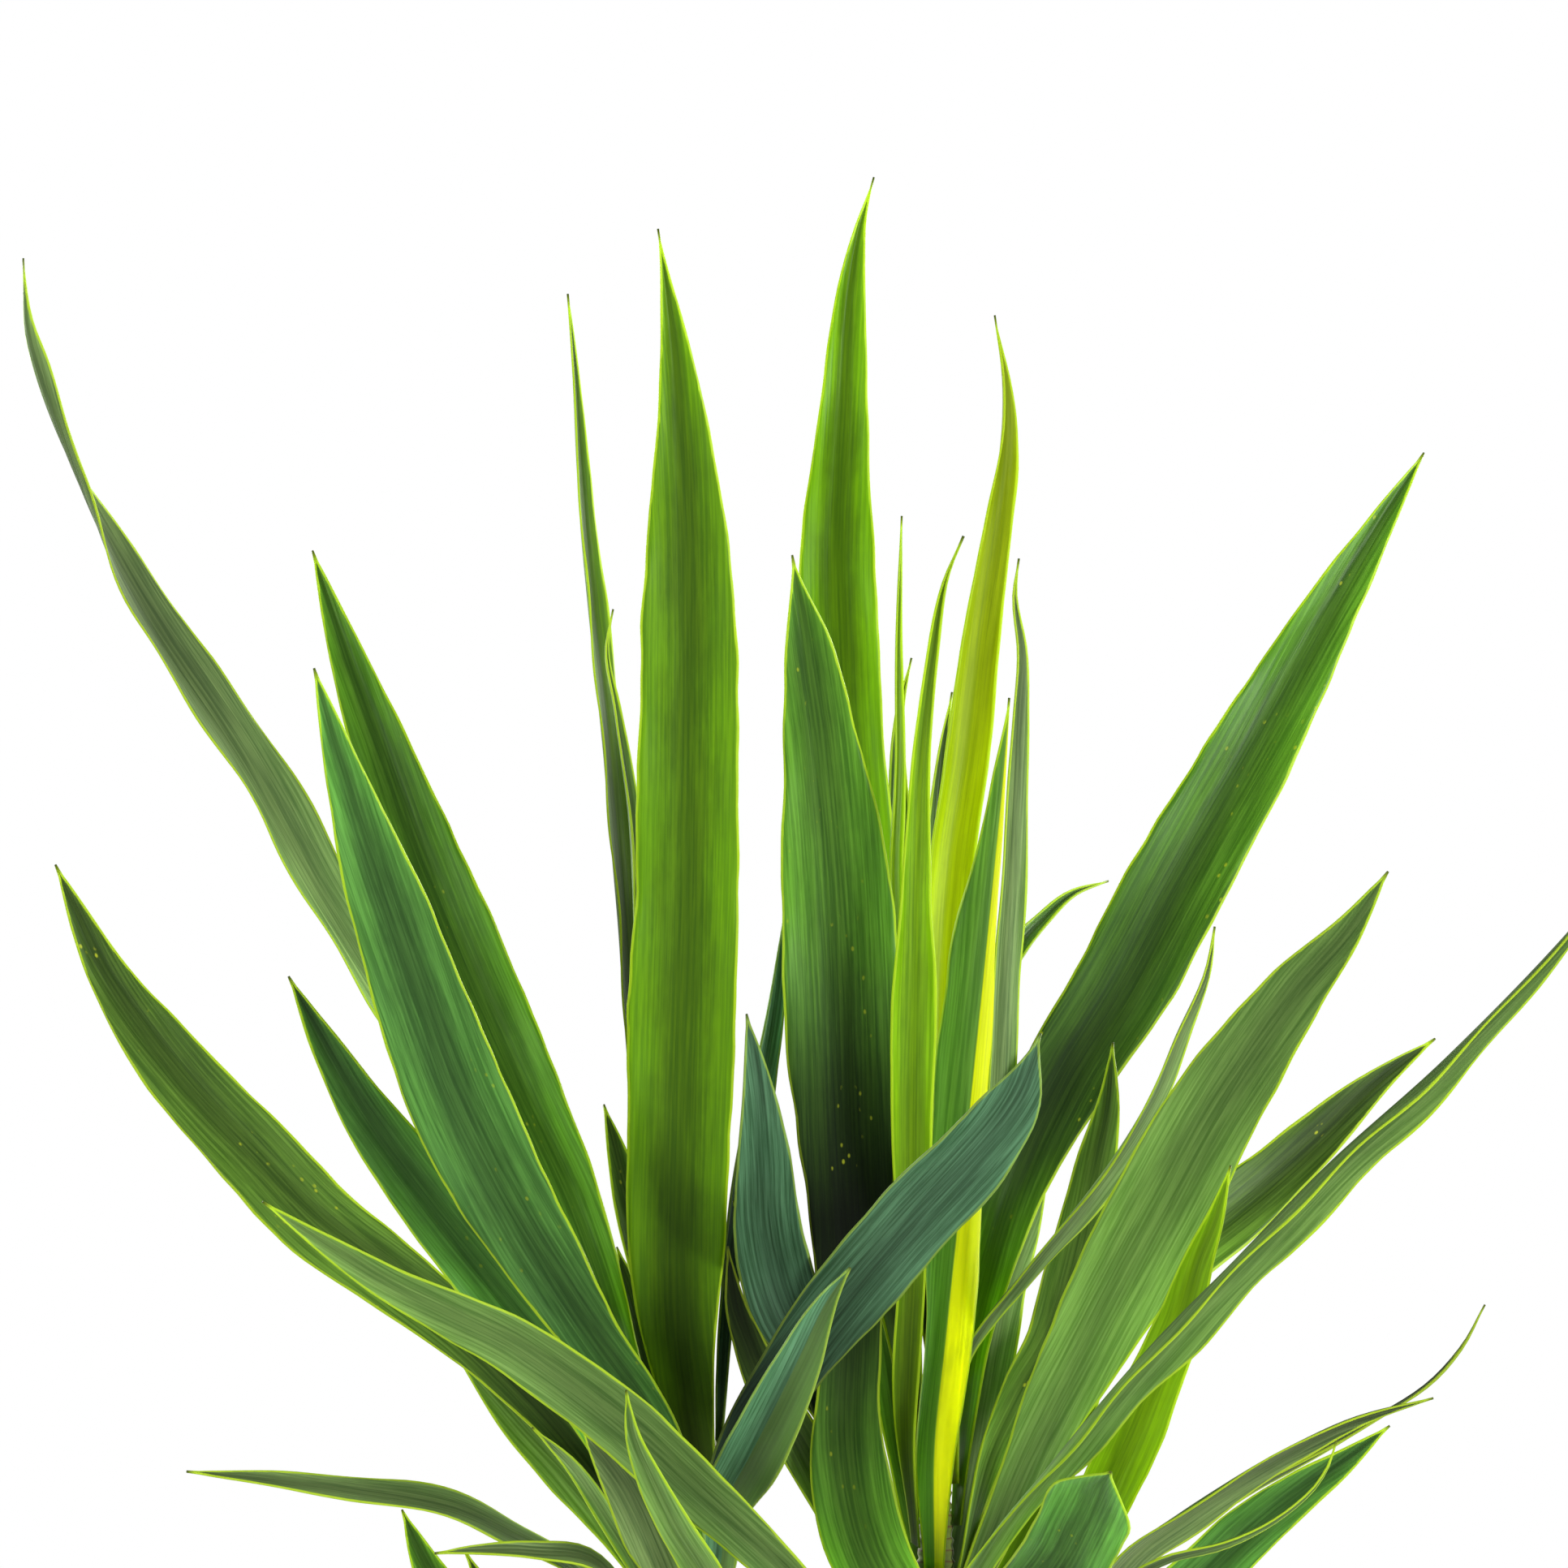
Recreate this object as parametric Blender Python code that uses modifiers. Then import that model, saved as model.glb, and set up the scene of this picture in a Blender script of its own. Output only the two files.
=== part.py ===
"""Potted yucca: a woody cane with two leafy side shoots, in soil, in a plain clay pot.

Metres, +Z up. The origin is the centre of the pot's underside, and -Y is the plant's front.
"""

import math

import bmesh
import bpy
from mathutils import Vector

# Pot
POT_HEIGHT = 0.220
POT_RIM_RADIUS = 0.120
POT_BASE_RADIUS = 0.086
POT_WALL = 0.008
POT_FLOOR = 0.012
RIM_BAND_HEIGHT = 0.042
RIM_BAND_STEP = 0.006
RIM_ROUNDING = 0.0025
DRAIN_HOLE_RADIUS = 0.006
DRAIN_HOLE_DISTANCE = 0.040
DRAIN_HOLES = 3
DRAIN_HOLE_STEPS = 12
ROUND_STEPS = 32

# Soil
SOIL_BELOW_RIM = 0.024
SOIL_MOUND = 0.005
CANE_DEPTH = 0.130

# Cane and its two side shoots
CANE_RADIUS = 0.024
CANE_ABOVE_SOIL = 0.180
CANE_STEPS = 24
SHOOT_SPACING = 0.100
SHOOT_START_BELOW_TOP = 0.040
SHOOT_BEND_RISE = 0.080
SHOOT_BEND_STEPS = 6
SHOOT_BEVEL_RESOLUTION = 3
SHOOT_STRAIGHT_FROM = -0.058
SHOOT_BASE_RADIUS = 0.0165
SHOOT_TIP_RADIUS = 0.0065
SHOOT_LEAF_ZONE = 0.175
CROWN_ABOVE_CANE = 0.124
SHOOT_TIP_ABOVE_CROWN = 0.055

# Leaves
LEAF_THICKNESS = 0.0012
LEAF_SECTION = 0.055
TIP_WIDTH = 0.0012
BASE_TURN_SHARE = 0.30

# Touching pieces keep this much clear of each other.
CLEARANCE = 0.0004

SOIL_TOP = POT_HEIGHT - SOIL_BELOW_RIM
CANE_TOP = SOIL_TOP + CANE_ABOVE_SOIL
CROWN_HEIGHT = CANE_TOP + CROWN_ABOVE_CANE
SHOOT_X = {"left": -SHOOT_SPACING / 2, "right": SHOOT_SPACING / 2}


class Leaf:
    """One leaf, as a route for its midline and a width across it.

    height is where it leaves its shoot, above or below the crown's height, and heading is the side
    it leaves from: 0 is +X, 90 is the back, 270 the front. The route is measured from that point.
    turn is the blade's turn about its midline in degrees, where 0 shows its face to the front, and a
    list is spread evenly along the leaf. fold lifts both halves from the midrib into a gutter.
    outline, where it is given, is a list of shares of the full width, spread evenly from foot to tip.
    Without it, base and waist are shares of the full width, where the leaf clasps the shoot and just
    above it, and waist_at and widest are shares of the length. tip is how bluntly the blade ends.
    """

    def __init__(self, name, height, heading, width, route, turn=0, fold=12, base=0.34, waist=0.40,
                 waist_at=0.12, widest=0.52, tip=2.0, outline=None):
        self.name = name
        self.shoot = "left" if "left" in name else "right"
        self.height = height
        self.heading = math.radians(heading)
        self.width = width
        self.route = route
        self.turns = [math.radians(angle) for angle in (turn if isinstance(turn, list) else [turn])]
        self.fold = math.radians(fold)
        self.base = base
        self.waist = waist
        self.waist_at = waist_at
        self.widest = widest
        self.tip = tip
        self.outline = outline


LEAVES = (
    Leaf("leaf_left_01", 0.050, 35, 0.014, turn=30, fold=20, route=(
        (0.005, 0.021, 0.079), (0.017, 0.047, 0.149), (0.024, 0.065, 0.189), (0.029, 0.085, 0.234),)),
    Leaf("leaf_left_02", 0.046, 95, 0.018, turn=20, fold=35, route=(
        (0.001, 0.018, 0.063), (-0.004, 0.052, 0.203), (-0.008, 0.082, 0.355),)),
    Leaf("leaf_left_03", 0.038, 200, 0.014, turn=60, fold=30, route=(
        (-0.012, 0.015, 0.092), (-0.020, 0.037, 0.202), (-0.024, 0.051, 0.282), (-0.031, 0.063, 0.332),
        (-0.035, 0.069, 0.357), (-0.032, 0.073, 0.376),)),
    Leaf("leaf_left_04", 0.034, 150, 0.023, turn=64, fold=20, route=(
        (-0.019, 0.032, 0.115), (-0.028, 0.066, 0.235), (-0.036, 0.096, 0.326), (-0.044, 0.114, 0.397),
        (-0.048, 0.122, 0.448), (-0.050, 0.128, 0.484), (-0.053, 0.134, 0.519),)),
    Leaf("leaf_left_05", 0.032, 262, 0.047,
        outline=[0.3, 0.55, 0.85, 0.96, 1, 0.97, 0.95, 0.92, 0.83, 0.57, 0.27, 0], route=(
        (-0.010, -0.015, 0.079), (-0.009, -0.027, 0.169), (-0.006, -0.041, 0.268),
        (-0.005, -0.053, 0.368), (-0.006, -0.061, 0.427), (-0.010, -0.067, 0.486),
        (-0.014, -0.070, 0.516), (-0.018, -0.073, 0.543),)),
    Leaf("leaf_left_06", 0.026, 165, 0.040, fold=12, route=(
        (-0.007, 0.006, 0.020), (-0.021, 0.012, 0.048), (-0.046, 0.028, 0.123), (-0.069, 0.044, 0.173),
        (-0.094, 0.058, 0.228), (-0.117, 0.072, 0.284), (-0.135, 0.084, 0.334), (-0.150, 0.094, 0.375),
        (-0.163, 0.104, 0.414),)),
    Leaf("leaf_left_07", 0.030, 104, 0.022, fold=15, turn=20, route=(
        (-0.014, 0.045, 0.068), (-0.031, 0.077, 0.128), (-0.042, 0.095, 0.168),)),
    Leaf("leaf_left_08", 0.020, 300, 0.037, fold=10,
        outline=[0.4, 0.5, 0.68, 0.86, 0.97, 1, 0.93, 0.68, 0], route=(
        (0.009, -0.030, 0.031), (0.025, -0.054, 0.057), (0.055, -0.092, 0.098), (0.084, -0.124, 0.133),
        (0.115, -0.156, 0.168), (0.129, -0.174, 0.188), (0.138, -0.192, 0.213),)),
    Leaf("leaf_left_09", 0.012, 214, 0.034, fold=20,
        turn=[40, 45, 50, 52, 52, 50, 50, 50, 48, 48, 55, 95, 130, 120],
        outline=[0.4, 0.5, 0.62, 0.72, 0.82, 0.9, 0.97, 1, 0.97, 0.9, 0.75, 0.5, 0.36, 0], route=(
        (-0.009, -0.011, 0.031), (-0.023, -0.012, 0.073), (-0.049, -0.004, 0.118), (-0.104, 0.020, 0.193),
        (-0.156, 0.042, 0.273), (-0.193, 0.058, 0.338), (-0.237, 0.070, 0.404), (-0.264, 0.077, 0.456),
        (-0.286, 0.082, 0.520), (-0.289, 0.084, 0.555),)),
    Leaf("leaf_left_10", 0.004, 250, 0.044, fold=12, route=(
        (-0.008, -0.012, 0.033), (-0.018, -0.023, 0.061), (-0.044, -0.042, 0.098),
        (-0.075, -0.068, 0.148), (-0.100, -0.088, 0.198), (-0.118, -0.104, 0.247),
        (-0.135, -0.120, 0.297), (-0.149, -0.132, 0.341), (-0.161, -0.140, 0.383),)),
    Leaf("leaf_left_11", 0.006, 150, 0.020, fold=15, turn=20, route=(
        (-0.009, 0.035, 0.053), (-0.020, 0.065, 0.097), (-0.030, 0.085, 0.130),)),
    Leaf("leaf_left_12", 0, 95, 0.036, fold=12, route=(
        (-0.007, 0.059, 0.078), (-0.010, 0.129, 0.177), (-0.010, 0.189, 0.289), (-0.010, 0.239, 0.381),)),
    Leaf("leaf_left_13", -0.008, 200, 0.034, fold=12, route=(
        (-0.015, -0.016, 0.029), (-0.032, -0.025, 0.064), (-0.051, -0.034, 0.097),
        (-0.074, -0.046, 0.127), (-0.098, -0.058, 0.157), (-0.135, -0.076, 0.207),
        (-0.151, -0.082, 0.234), (-0.167, -0.088, 0.264),)),
    Leaf("leaf_left_14", -0.014, 285, 0.032, fold=35, route=(
        (0.005, -0.035, 0.020), (0.007, -0.051, 0.044), (0.017, -0.071, 0.065), (0.027, -0.087, 0.085),
        (0.039, -0.105, 0.110), (0.050, -0.117, 0.133), (0.060, -0.125, 0.147),)),
    Leaf("leaf_left_15", -0.022, 180, 0.036, fold=12, widest=0.6, route=(
        (-0.023, 0, 0.042), (-0.048, 0.006, 0.077), (-0.088, 0.014, 0.119), (-0.119, 0.020, 0.143),
        (-0.156, 0.028, 0.171), (-0.183, 0.034, 0.199), (-0.215, 0.042, 0.233), (-0.247, 0.050, 0.276),
        (-0.271, 0.056, 0.325),)),
    Leaf("leaf_left_16", -0.026, 235, 0.024, fold=10, route=(
        (-0.015, -0.034, 0.038), (-0.027, -0.048, 0.064), (-0.046, -0.062, 0.090),)),
    Leaf("leaf_left_17", -0.038, 205, 0.010, fold=10, turn=20, route=(
        (-0.018, -0.021, 0.039), (-0.033, -0.029, 0.064), (-0.046, -0.033, 0.083),
        (-0.063, -0.039, 0.100),)),
    Leaf("leaf_left_18", -0.034, 150, 0.024, fold=10, route=(
        (-0.027, 0.012, 0.048), (-0.048, 0.020, 0.075), (-0.065, 0.026, 0.093), (-0.085, 0.032, 0.116),
        (-0.105, 0.036, 0.138),)),
    Leaf("leaf_left_19", -0.048, 265, 0.020, fold=10, route=(
        (0.005, -0.047, 0.019), (0.004, -0.087, 0.046), (-0.010, -0.117, 0.071), (-0.020, -0.135, 0.092),
        (-0.028, -0.147, 0.111), (-0.031, -0.155, 0.130),)),
    Leaf("leaf_left_20", -0.054, 215, 0.022, fold=10, turn=72, route=(
        (-0.023, -0.028, 0.032), (-0.046, -0.040, 0.055), (-0.070, -0.048, 0.069),
        (-0.098, -0.056, 0.082), (-0.142, -0.068, 0.090), (-0.177, -0.078, 0.095),
        (-0.210, -0.088, 0.099),)),
    Leaf("leaf_left_21", -0.066, 235, 0.014, fold=10, turn=75, route=(
        (-0.019, -0.042, 0.044), (-0.039, -0.056, 0.071), (-0.066, -0.068, 0.076),
        (-0.090, -0.076, 0.077), (-0.107, -0.082, 0.076),)),
    Leaf("leaf_left_22", -0.078, 175, 0.024, fold=10, route=(
        (-0.050, 0.003, 0.016), (-0.087, 0.003, 0.048), (-0.106, 0.003, 0.078), (-0.117, 0.001, 0.103),)),
    Leaf("leaf_left_23", -0.084, 125, 0.030, fold=12, turn=-30, route=(
        (-0.018, 0.032, 0.024), (-0.040, 0.098, 0.055), (-0.062, 0.158, 0.058), (-0.083, 0.208, 0.032),
        (-0.096, 0.238, -0.015),)),
    Leaf("leaf_left_24", -0.092, 215, 0.016, fold=10, route=(
        (-0.027, -0.021, 0.024), (-0.057, -0.037, 0.054), (-0.081, -0.045, 0.084),
        (-0.091, -0.047, 0.102),)),
    Leaf("leaf_right_01", 0.046, 200, 0.010, turn=50, fold=30, route=(
        (-0.005, 0.003, 0.074), (-0.009, 0.009, 0.174), (-0.011, 0.015, 0.254), (-0.009, 0.021, 0.304),
        (-0.009, 0.025, 0.354), (-0.007, 0.031, 0.408),)),
    Leaf("leaf_right_02", 0.042, 150, 0.036, fold=10,
        outline=[0.34, 0.55, 0.75, 0.89, 0.97, 1, 1, 0.97, 0.86, 0.6, 0.35, 0], route=(
        (-0.007, 0.016, 0.057), (-0.017, 0.034, 0.137), (-0.024, 0.052, 0.217), (-0.031, 0.072, 0.298),
        (-0.034, 0.088, 0.359), (-0.035, 0.098, 0.399), (-0.032, 0.110, 0.460), (-0.029, 0.118, 0.511),
        (-0.025, 0.124, 0.540), (-0.019, 0.128, 0.562),)),
    Leaf("leaf_right_03", 0.044, 88, 0.016, fold=20, route=(
        (0, 0.014, 0.035), (-0.005, 0.036, 0.075), (-0.008, 0.052, 0.115), (-0.009, 0.064, 0.155),
        (-0.013, 0.078, 0.245), (-0.016, 0.084, 0.296), (-0.015, 0.088, 0.326), (-0.010, 0.091, 0.349),)),
    Leaf("leaf_right_04", 0.036, 20, 0.023, fold=30, turn=[0, 0, 0, 0, 0, 0, 0, 0, 0, 10, 55, 70],
        outline=[0.5, 0.7, 0.85, 0.95, 1, 1, 0.97, 0.95, 0.8, 0.62, 0.5, 0], route=(
        (-0.002, 0.005, 0.084), (-0.005, 0.009, 0.194), (-0.001, 0.013, 0.264), (0.006, 0.017, 0.314),
        (0.012, 0.021, 0.364), (0.019, 0.025, 0.414), (0.022, 0.027, 0.445), (0.022, 0.029, 0.475),
        (0.018, 0.031, 0.505),)),
    Leaf("leaf_right_05", 0.030, 78, 0.016, fold=20, turn=35, route=(
        (0.006, 0.015, 0.029), (0.014, 0.025, 0.079), (0.023, 0.031, 0.139), (0.028, 0.039, 0.219),
        (0.032, 0.045, 0.280), (0.035, 0.049, 0.340), (0.036, 0.052, 0.365), (0.033, 0.054, 0.389),
        (0.035, 0.056, 0.406),)),
    Leaf("leaf_right_06", 0.010, 104, 0.018, fold=20, route=(
        (0, 0.019, 0.049), (0.007, 0.037, 0.099), (0.013, 0.047, 0.149), (0.012, 0.048, 0.209),
        (0.004, 0.056, 0.290), (0.006, 0.060, 0.340), (0.010, 0.064, 0.368),)),
    Leaf("leaf_right_07", 0.018, 16, 0.045, fold=12, route=(
        (0.007, 0.007, 0.072), (0.014, 0.014, 0.107), (0.026, 0.024, 0.146), (0.047, 0.038, 0.191),
        (0.072, 0.052, 0.231), (0.100, 0.067, 0.282), (0.129, 0.081, 0.332), (0.157, 0.095, 0.383),
        (0.187, 0.109, 0.434), (0.206, 0.117, 0.465),)),
    Leaf("leaf_right_08", 0.006, 82, 0.014, fold=20, turn=20, route=(
        (0.002, 0.056, 0.092), (0.012, 0.096, 0.172), (0.022, 0.126, 0.238), (0.035, 0.152, 0.259),
        (0.046, 0.174, 0.271), (0.060, 0.196, 0.283), (0.077, 0.220, 0.289),)),
    Leaf("leaf_right_09", 0.010, 204, 0.022, fold=30,
        outline=[0.36, 0.46, 0.6, 0.6, 0.8, 0.95, 1, 0.7, 0.5, 0.35, 0.22, 0], route=(
        (-0.004, -0.020, 0.051), (-0.002, -0.030, 0.121), (-0.002, -0.042, 0.191),
        (-0.001, -0.048, 0.241), (0, -0.052, 0.290), (0.002, -0.056, 0.340), (0.007, -0.060, 0.385),
        (0.012, -0.063, 0.414), (0.020, -0.066, 0.434),)),
    Leaf("leaf_right_10", 0, 266, 0.034, fold=-40, turn=[-35, -32, -22, -8, 8, 20, 28, 33, 33, 33, 33],
        outline=[0.26, 0.46, 0.66, 0.8, 0.88, 0.95, 1, 0.9, 0.55, 0.28, 0], route=(
        (0, -0.009, 0.051), (0.005, -0.015, 0.101), (0.010, -0.019, 0.151), (0.015, -0.022, 0.201),
        (0.020, -0.025, 0.250), (0.025, -0.027, 0.300), (0.028, -0.028, 0.330), (0.032, -0.029, 0.375),)),
    Leaf("leaf_right_11", 0.048, 318, 0.020, fold=20, turn=54, route=(
        (0.005, -0.001, 0.038), (0.016, -0.012, 0.059), (0.030, -0.026, 0.077), (0.053, -0.037, 0.105),
        (0.076, -0.045, 0.137), (0.088, -0.049, 0.158), (0.098, -0.053, 0.183), (0.109, -0.057, 0.208),
        (0.113, -0.060, 0.229),)),
    Leaf("leaf_right_12", -0.004, 48, 0.022, fold=10, route=(
        (0.013, 0.032, 0.069), (0.019, 0.046, 0.102), (0.025, 0.054, 0.127), (0.033, 0.062, 0.147),
        (0.043, 0.070, 0.174),)),
    Leaf("leaf_right_13", -0.004, 348, 0.025, fold=10, route=(
        (0.013, -0.004, 0.049), (0.027, -0.006, 0.079), (0.041, -0.010, 0.104), (0.048, -0.014, 0.129),
        (0.054, -0.018, 0.154), (0.059, -0.022, 0.179), (0.064, -0.026, 0.204), (0.066, -0.030, 0.231),)),
    Leaf("leaf_right_14", -0.006, 110, 0.034, fold=12, route=(
        (-0.012, 0.050, 0.064), (-0.024, 0.120, 0.163), (-0.033, 0.180, 0.264), (-0.038, 0.230, 0.356),)),
    Leaf("leaf_right_15", -0.012, 170, 0.012, fold=10, route=(
        (-0.027, 0.002, 0.062), (-0.057, 0.006, 0.109), (-0.069, 0.010, 0.142), (-0.077, 0.014, 0.170),)),
    Leaf("leaf_right_16", -0.014, 2, 0.033, fold=15, route=(
        (0.015, 0.008, 0.059), (0.029, 0.016, 0.091), (0.054, 0.028, 0.116), (0.089, 0.042, 0.143),
        (0.130, 0.058, 0.175), (0.156, 0.068, 0.198), (0.181, 0.078, 0.221), (0.208, 0.088, 0.241),)),
    Leaf("leaf_right_17", -0.018, 195, 0.032, fold=10, route=(
        (-0.015, -0.005, 0.028), (-0.027, -0.011, 0.069), (-0.037, -0.011, 0.103),
        (-0.053, -0.019, 0.129), (-0.059, -0.022, 0.147), (-0.063, -0.039, 0.169),
        (-0.064, -0.063, 0.195), (-0.066, -0.081, 0.224), (-0.071, -0.095, 0.258),)),
    Leaf("leaf_right_18", -0.024, 316, 0.045, fold=12, route=(
        (0.011, -0.020, 0.025), (0.033, -0.040, 0.076), (0.058, -0.064, 0.126), (0.084, -0.086, 0.176),
        (0.111, -0.108, 0.226), (0.143, -0.130, 0.274), (0.165, -0.144, 0.300), (0.182, -0.154, 0.325),)),
    Leaf("leaf_right_19", -0.030, 255, 0.050, fold=10,
        outline=[0.5, 0.72, 0.7, 0.54, 0.6, 0.76, 0.9, 0.98, 1, 0.88, 0.64, 0.42, 0], route=(
        (-0.025, -0.014, 0.036), (-0.035, -0.018, 0.081), (-0.034, -0.018, 0.136),
        (-0.034, -0.018, 0.171), (-0.036, -0.020, 0.211), (-0.039, -0.024, 0.290),
        (-0.042, -0.028, 0.340), (-0.047, -0.034, 0.390), (-0.053, -0.042, 0.430),
        (-0.059, -0.048, 0.466),)),
    Leaf("leaf_right_20", -0.038, 178, 0.020, fold=10, route=(
        (-0.021, -0.014, 0.039), (-0.045, -0.020, 0.089), (-0.061, -0.034, 0.117),
        (-0.070, -0.042, 0.139), (-0.075, -0.046, 0.154), (-0.078, -0.050, 0.178),)),
    Leaf("leaf_right_21", -0.042, 285, 0.036, fold=35, turn=45, route=(
        (0.008, -0.044, 0.032), (0.024, -0.076, 0.062), (0.043, -0.108, 0.088), (0.069, -0.138, 0.121),
        (0.093, -0.158, 0.149), (0.122, -0.174, 0.179), (0.161, -0.190, 0.220), (0.209, -0.204, 0.264),
        (0.259, -0.214, 0.316), (0.281, -0.218, 0.345),)),
    Leaf("leaf_right_22", -0.048, 352, 0.020, fold=10, route=(
        (0.021, -0.012, 0.051), (0.035, -0.022, 0.081), (0.046, -0.032, 0.104), (0.060, -0.042, 0.129),)),
    Leaf("leaf_right_23", -0.054, 325, 0.026, fold=10, route=(
        (0.023, -0.026, 0.028), (0.049, -0.052, 0.057), (0.063, -0.078, 0.090), (0.074, -0.100, 0.116),
        (0.083, -0.116, 0.140), (0.093, -0.132, 0.165), (0.100, -0.146, 0.190), (0.107, -0.156, 0.209),
        (0.113, -0.166, 0.231),)),
    Leaf("leaf_right_24", -0.060, 235, 0.029, fold=10, turn=-10, route=(
        (-0.032, -0.045, 0.035), (-0.060, -0.073, 0.064), (-0.092, -0.093, 0.094),
        (-0.126, -0.111, 0.126), (-0.170, -0.131, 0.159), (-0.199, -0.143, 0.174),
        (-0.228, -0.155, 0.189), (-0.253, -0.165, 0.205), (-0.278, -0.175, 0.222),)),
    Leaf("leaf_right_25", -0.066, 300, 0.040, fold=10,
        outline=[0.34, 0.42, 0.6, 0.82, 0.96, 1, 0.97, 0.86, 0], route=(
        (0.016, -0.048, 0.027), (0.034, -0.094, 0.055), (0.047, -0.134, 0.075), (0.054, -0.164, 0.091),
        (0.059, -0.186, 0.103), (0.062, -0.206, 0.111), (0.065, -0.222, 0.116),)),
    Leaf("leaf_right_26", -0.074, 342, 0.016, fold=20, turn=[60, 70, 70, 80, 80], route=(
        (0.045, -0.037, 0.056), (0.075, -0.051, 0.082), (0.110, -0.063, 0.105), (0.139, -0.071, 0.122),
        (0.169, -0.077, 0.139), (0.195, -0.081, 0.155), (0.211, -0.083, 0.172), (0.221, -0.085, 0.190),)),
    Leaf("leaf_right_27", -0.080, 350, 0.027, fold=10, route=(
        (0.045, -0.013, 0.029), (0.085, -0.025, 0.063), (0.105, -0.031, 0.081), (0.119, -0.035, 0.095),
        (0.142, -0.041, 0.114), (0.162, -0.045, 0.128), (0.181, -0.049, 0.143),)),
    Leaf("leaf_right_28", -0.086, 315, 0.024, fold=20, turn=55, route=(
        (0.038, -0.051, 0.049), (0.072, -0.077, 0.094), (0.095, -0.085, 0.112), (0.119, -0.091, 0.128),
        (0.143, -0.097, 0.142), (0.168, -0.101, 0.154), (0.201, -0.105, 0.163),)),
    Leaf("leaf_right_29", -0.092, 65, 0.030, fold=12, turn=30, route=(
        (0.016, 0.036, 0.023), (0.041, 0.096, 0.057), (0.064, 0.151, 0.069), (0.081, 0.201, 0.046),
        (0.092, 0.236, 0.001),)),
    Leaf("leaf_right_30", -0.100, 300, 0.017, fold=10, turn=60, route=(
        (0.035, -0.060, 0.050), (0.064, -0.096, 0.093), (0.089, -0.112, 0.109), (0.114, -0.116, 0.116),
        (0.134, -0.117, 0.125), (0.150, -0.116, 0.137), (0.158, -0.114, 0.148), (0.162, -0.112, 0.159),)),
)


def clear_scene():
    for obj in list(bpy.data.objects):
        bpy.data.objects.remove(obj, do_unlink=True)


def new_collection(name):
    collection = bpy.data.collections.new(name)
    bpy.context.scene.collection.children.link(collection)
    return collection


def new_material(name, colour, roughness):
    material = bpy.data.materials.new(name)
    material.use_nodes = True
    shader = material.node_tree.nodes["Principled BSDF"]
    shader.inputs["Base Color"].default_value = (*colour, 1.0)
    shader.inputs["Roughness"].default_value = roughness
    shader.inputs["Metallic"].default_value = 0.0
    return material


def new_object(name, mesh, material, collection):
    obj = bpy.data.objects.new(name, mesh)
    mesh.materials.append(material)
    collection.objects.link(obj)
    return obj


def mesh_from(name, shape):
    bmesh.ops.recalc_face_normals(shape, faces=shape.faces)
    mesh = bpy.data.meshes.new(name)
    shape.to_mesh(mesh)
    shape.free()
    return mesh


def turned(name, profile, material, collection, steps):
    """A closed turned piece. The profile of (radius, height) starts and ends on the axis."""
    shape = bmesh.new()
    points = [shape.verts.new((radius, 0.0, height)) for radius, height in profile]
    for start, end in zip(points, points[1:]):
        shape.edges.new((start, end))
    mesh = bpy.data.meshes.new(name)
    shape.to_mesh(mesh)
    shape.free()
    obj = new_object(name, mesh, material, collection)
    screw = obj.modifiers.new("Turn", "SCREW")
    screw.steps = screw.render_steps = steps
    screw.use_merge_vertices = True
    screw.merge_threshold = 0.00001
    screw.use_normal_calculate = True
    return obj


def subtract(obj, cutter):
    cutter.hide_render = True
    cutter.display_type = "WIRE"
    cut = obj.modifiers.new("Cut " + cutter.name, "BOOLEAN")
    cut.operation = "DIFFERENCE"
    cut.solver = "EXACT"
    cut.object = cutter


def cylinder(name, radius, low, high, steps, x=0.0, y=0.0):
    bpy.ops.mesh.primitive_cylinder_add(
        vertices=steps, radius=radius, depth=high - low, location=(x, y, (low + high) / 2))
    obj = bpy.context.object
    obj.name = name
    return obj


def move_to(obj, collection):
    for other in list(obj.users_collection):
        other.objects.unlink(obj)
    collection.objects.link(obj)


def pot_radius(height):
    """The pot's outer radius below its rim band."""
    return POT_BASE_RADIUS + (POT_RIM_RADIUS - RIM_BAND_STEP - POT_BASE_RADIUS) * height / POT_HEIGHT


def pot_inner_radius(height):
    """The inner wall's radius, which the pot and the soil share."""
    low = pot_radius(POT_FLOOR) - POT_WALL
    high = pot_radius(POT_HEIGHT) - POT_WALL
    return low + (high - low) * (height - POT_FLOOR) / (POT_HEIGHT - RIM_ROUNDING - POT_FLOOR)


def build_pot(material, parts, cutters):
    band_low = POT_HEIGHT - RIM_BAND_HEIGHT
    lip = POT_HEIGHT - RIM_ROUNDING
    profile = (
        (0.0, POT_FLOOR),
        (pot_inner_radius(POT_FLOOR), POT_FLOOR),
        (pot_inner_radius(lip), lip),
        (pot_inner_radius(lip) + RIM_ROUNDING, POT_HEIGHT),
        (POT_RIM_RADIUS - RIM_ROUNDING, POT_HEIGHT),
        (POT_RIM_RADIUS, lip),
        (POT_RIM_RADIUS, band_low),
        (pot_radius(band_low - RIM_BAND_STEP), band_low - RIM_BAND_STEP),
        (POT_BASE_RADIUS, RIM_ROUNDING),
        (POT_BASE_RADIUS - RIM_ROUNDING, 0.0),
        (0.0, 0.0),
    )
    pot = turned("pot", profile, material, parts, ROUND_STEPS)
    for index in range(DRAIN_HOLES):
        angle = math.radians(90 + 360 * index / DRAIN_HOLES)
        hole = cylinder(
            f"drain_cutter_{index + 1}", DRAIN_HOLE_RADIUS, -POT_FLOOR, 2 * POT_FLOOR, DRAIN_HOLE_STEPS,
            DRAIN_HOLE_DISTANCE * math.cos(angle), DRAIN_HOLE_DISTANCE * math.sin(angle))
        move_to(hole, cutters)
        subtract(pot, hole)
    return pot


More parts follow.
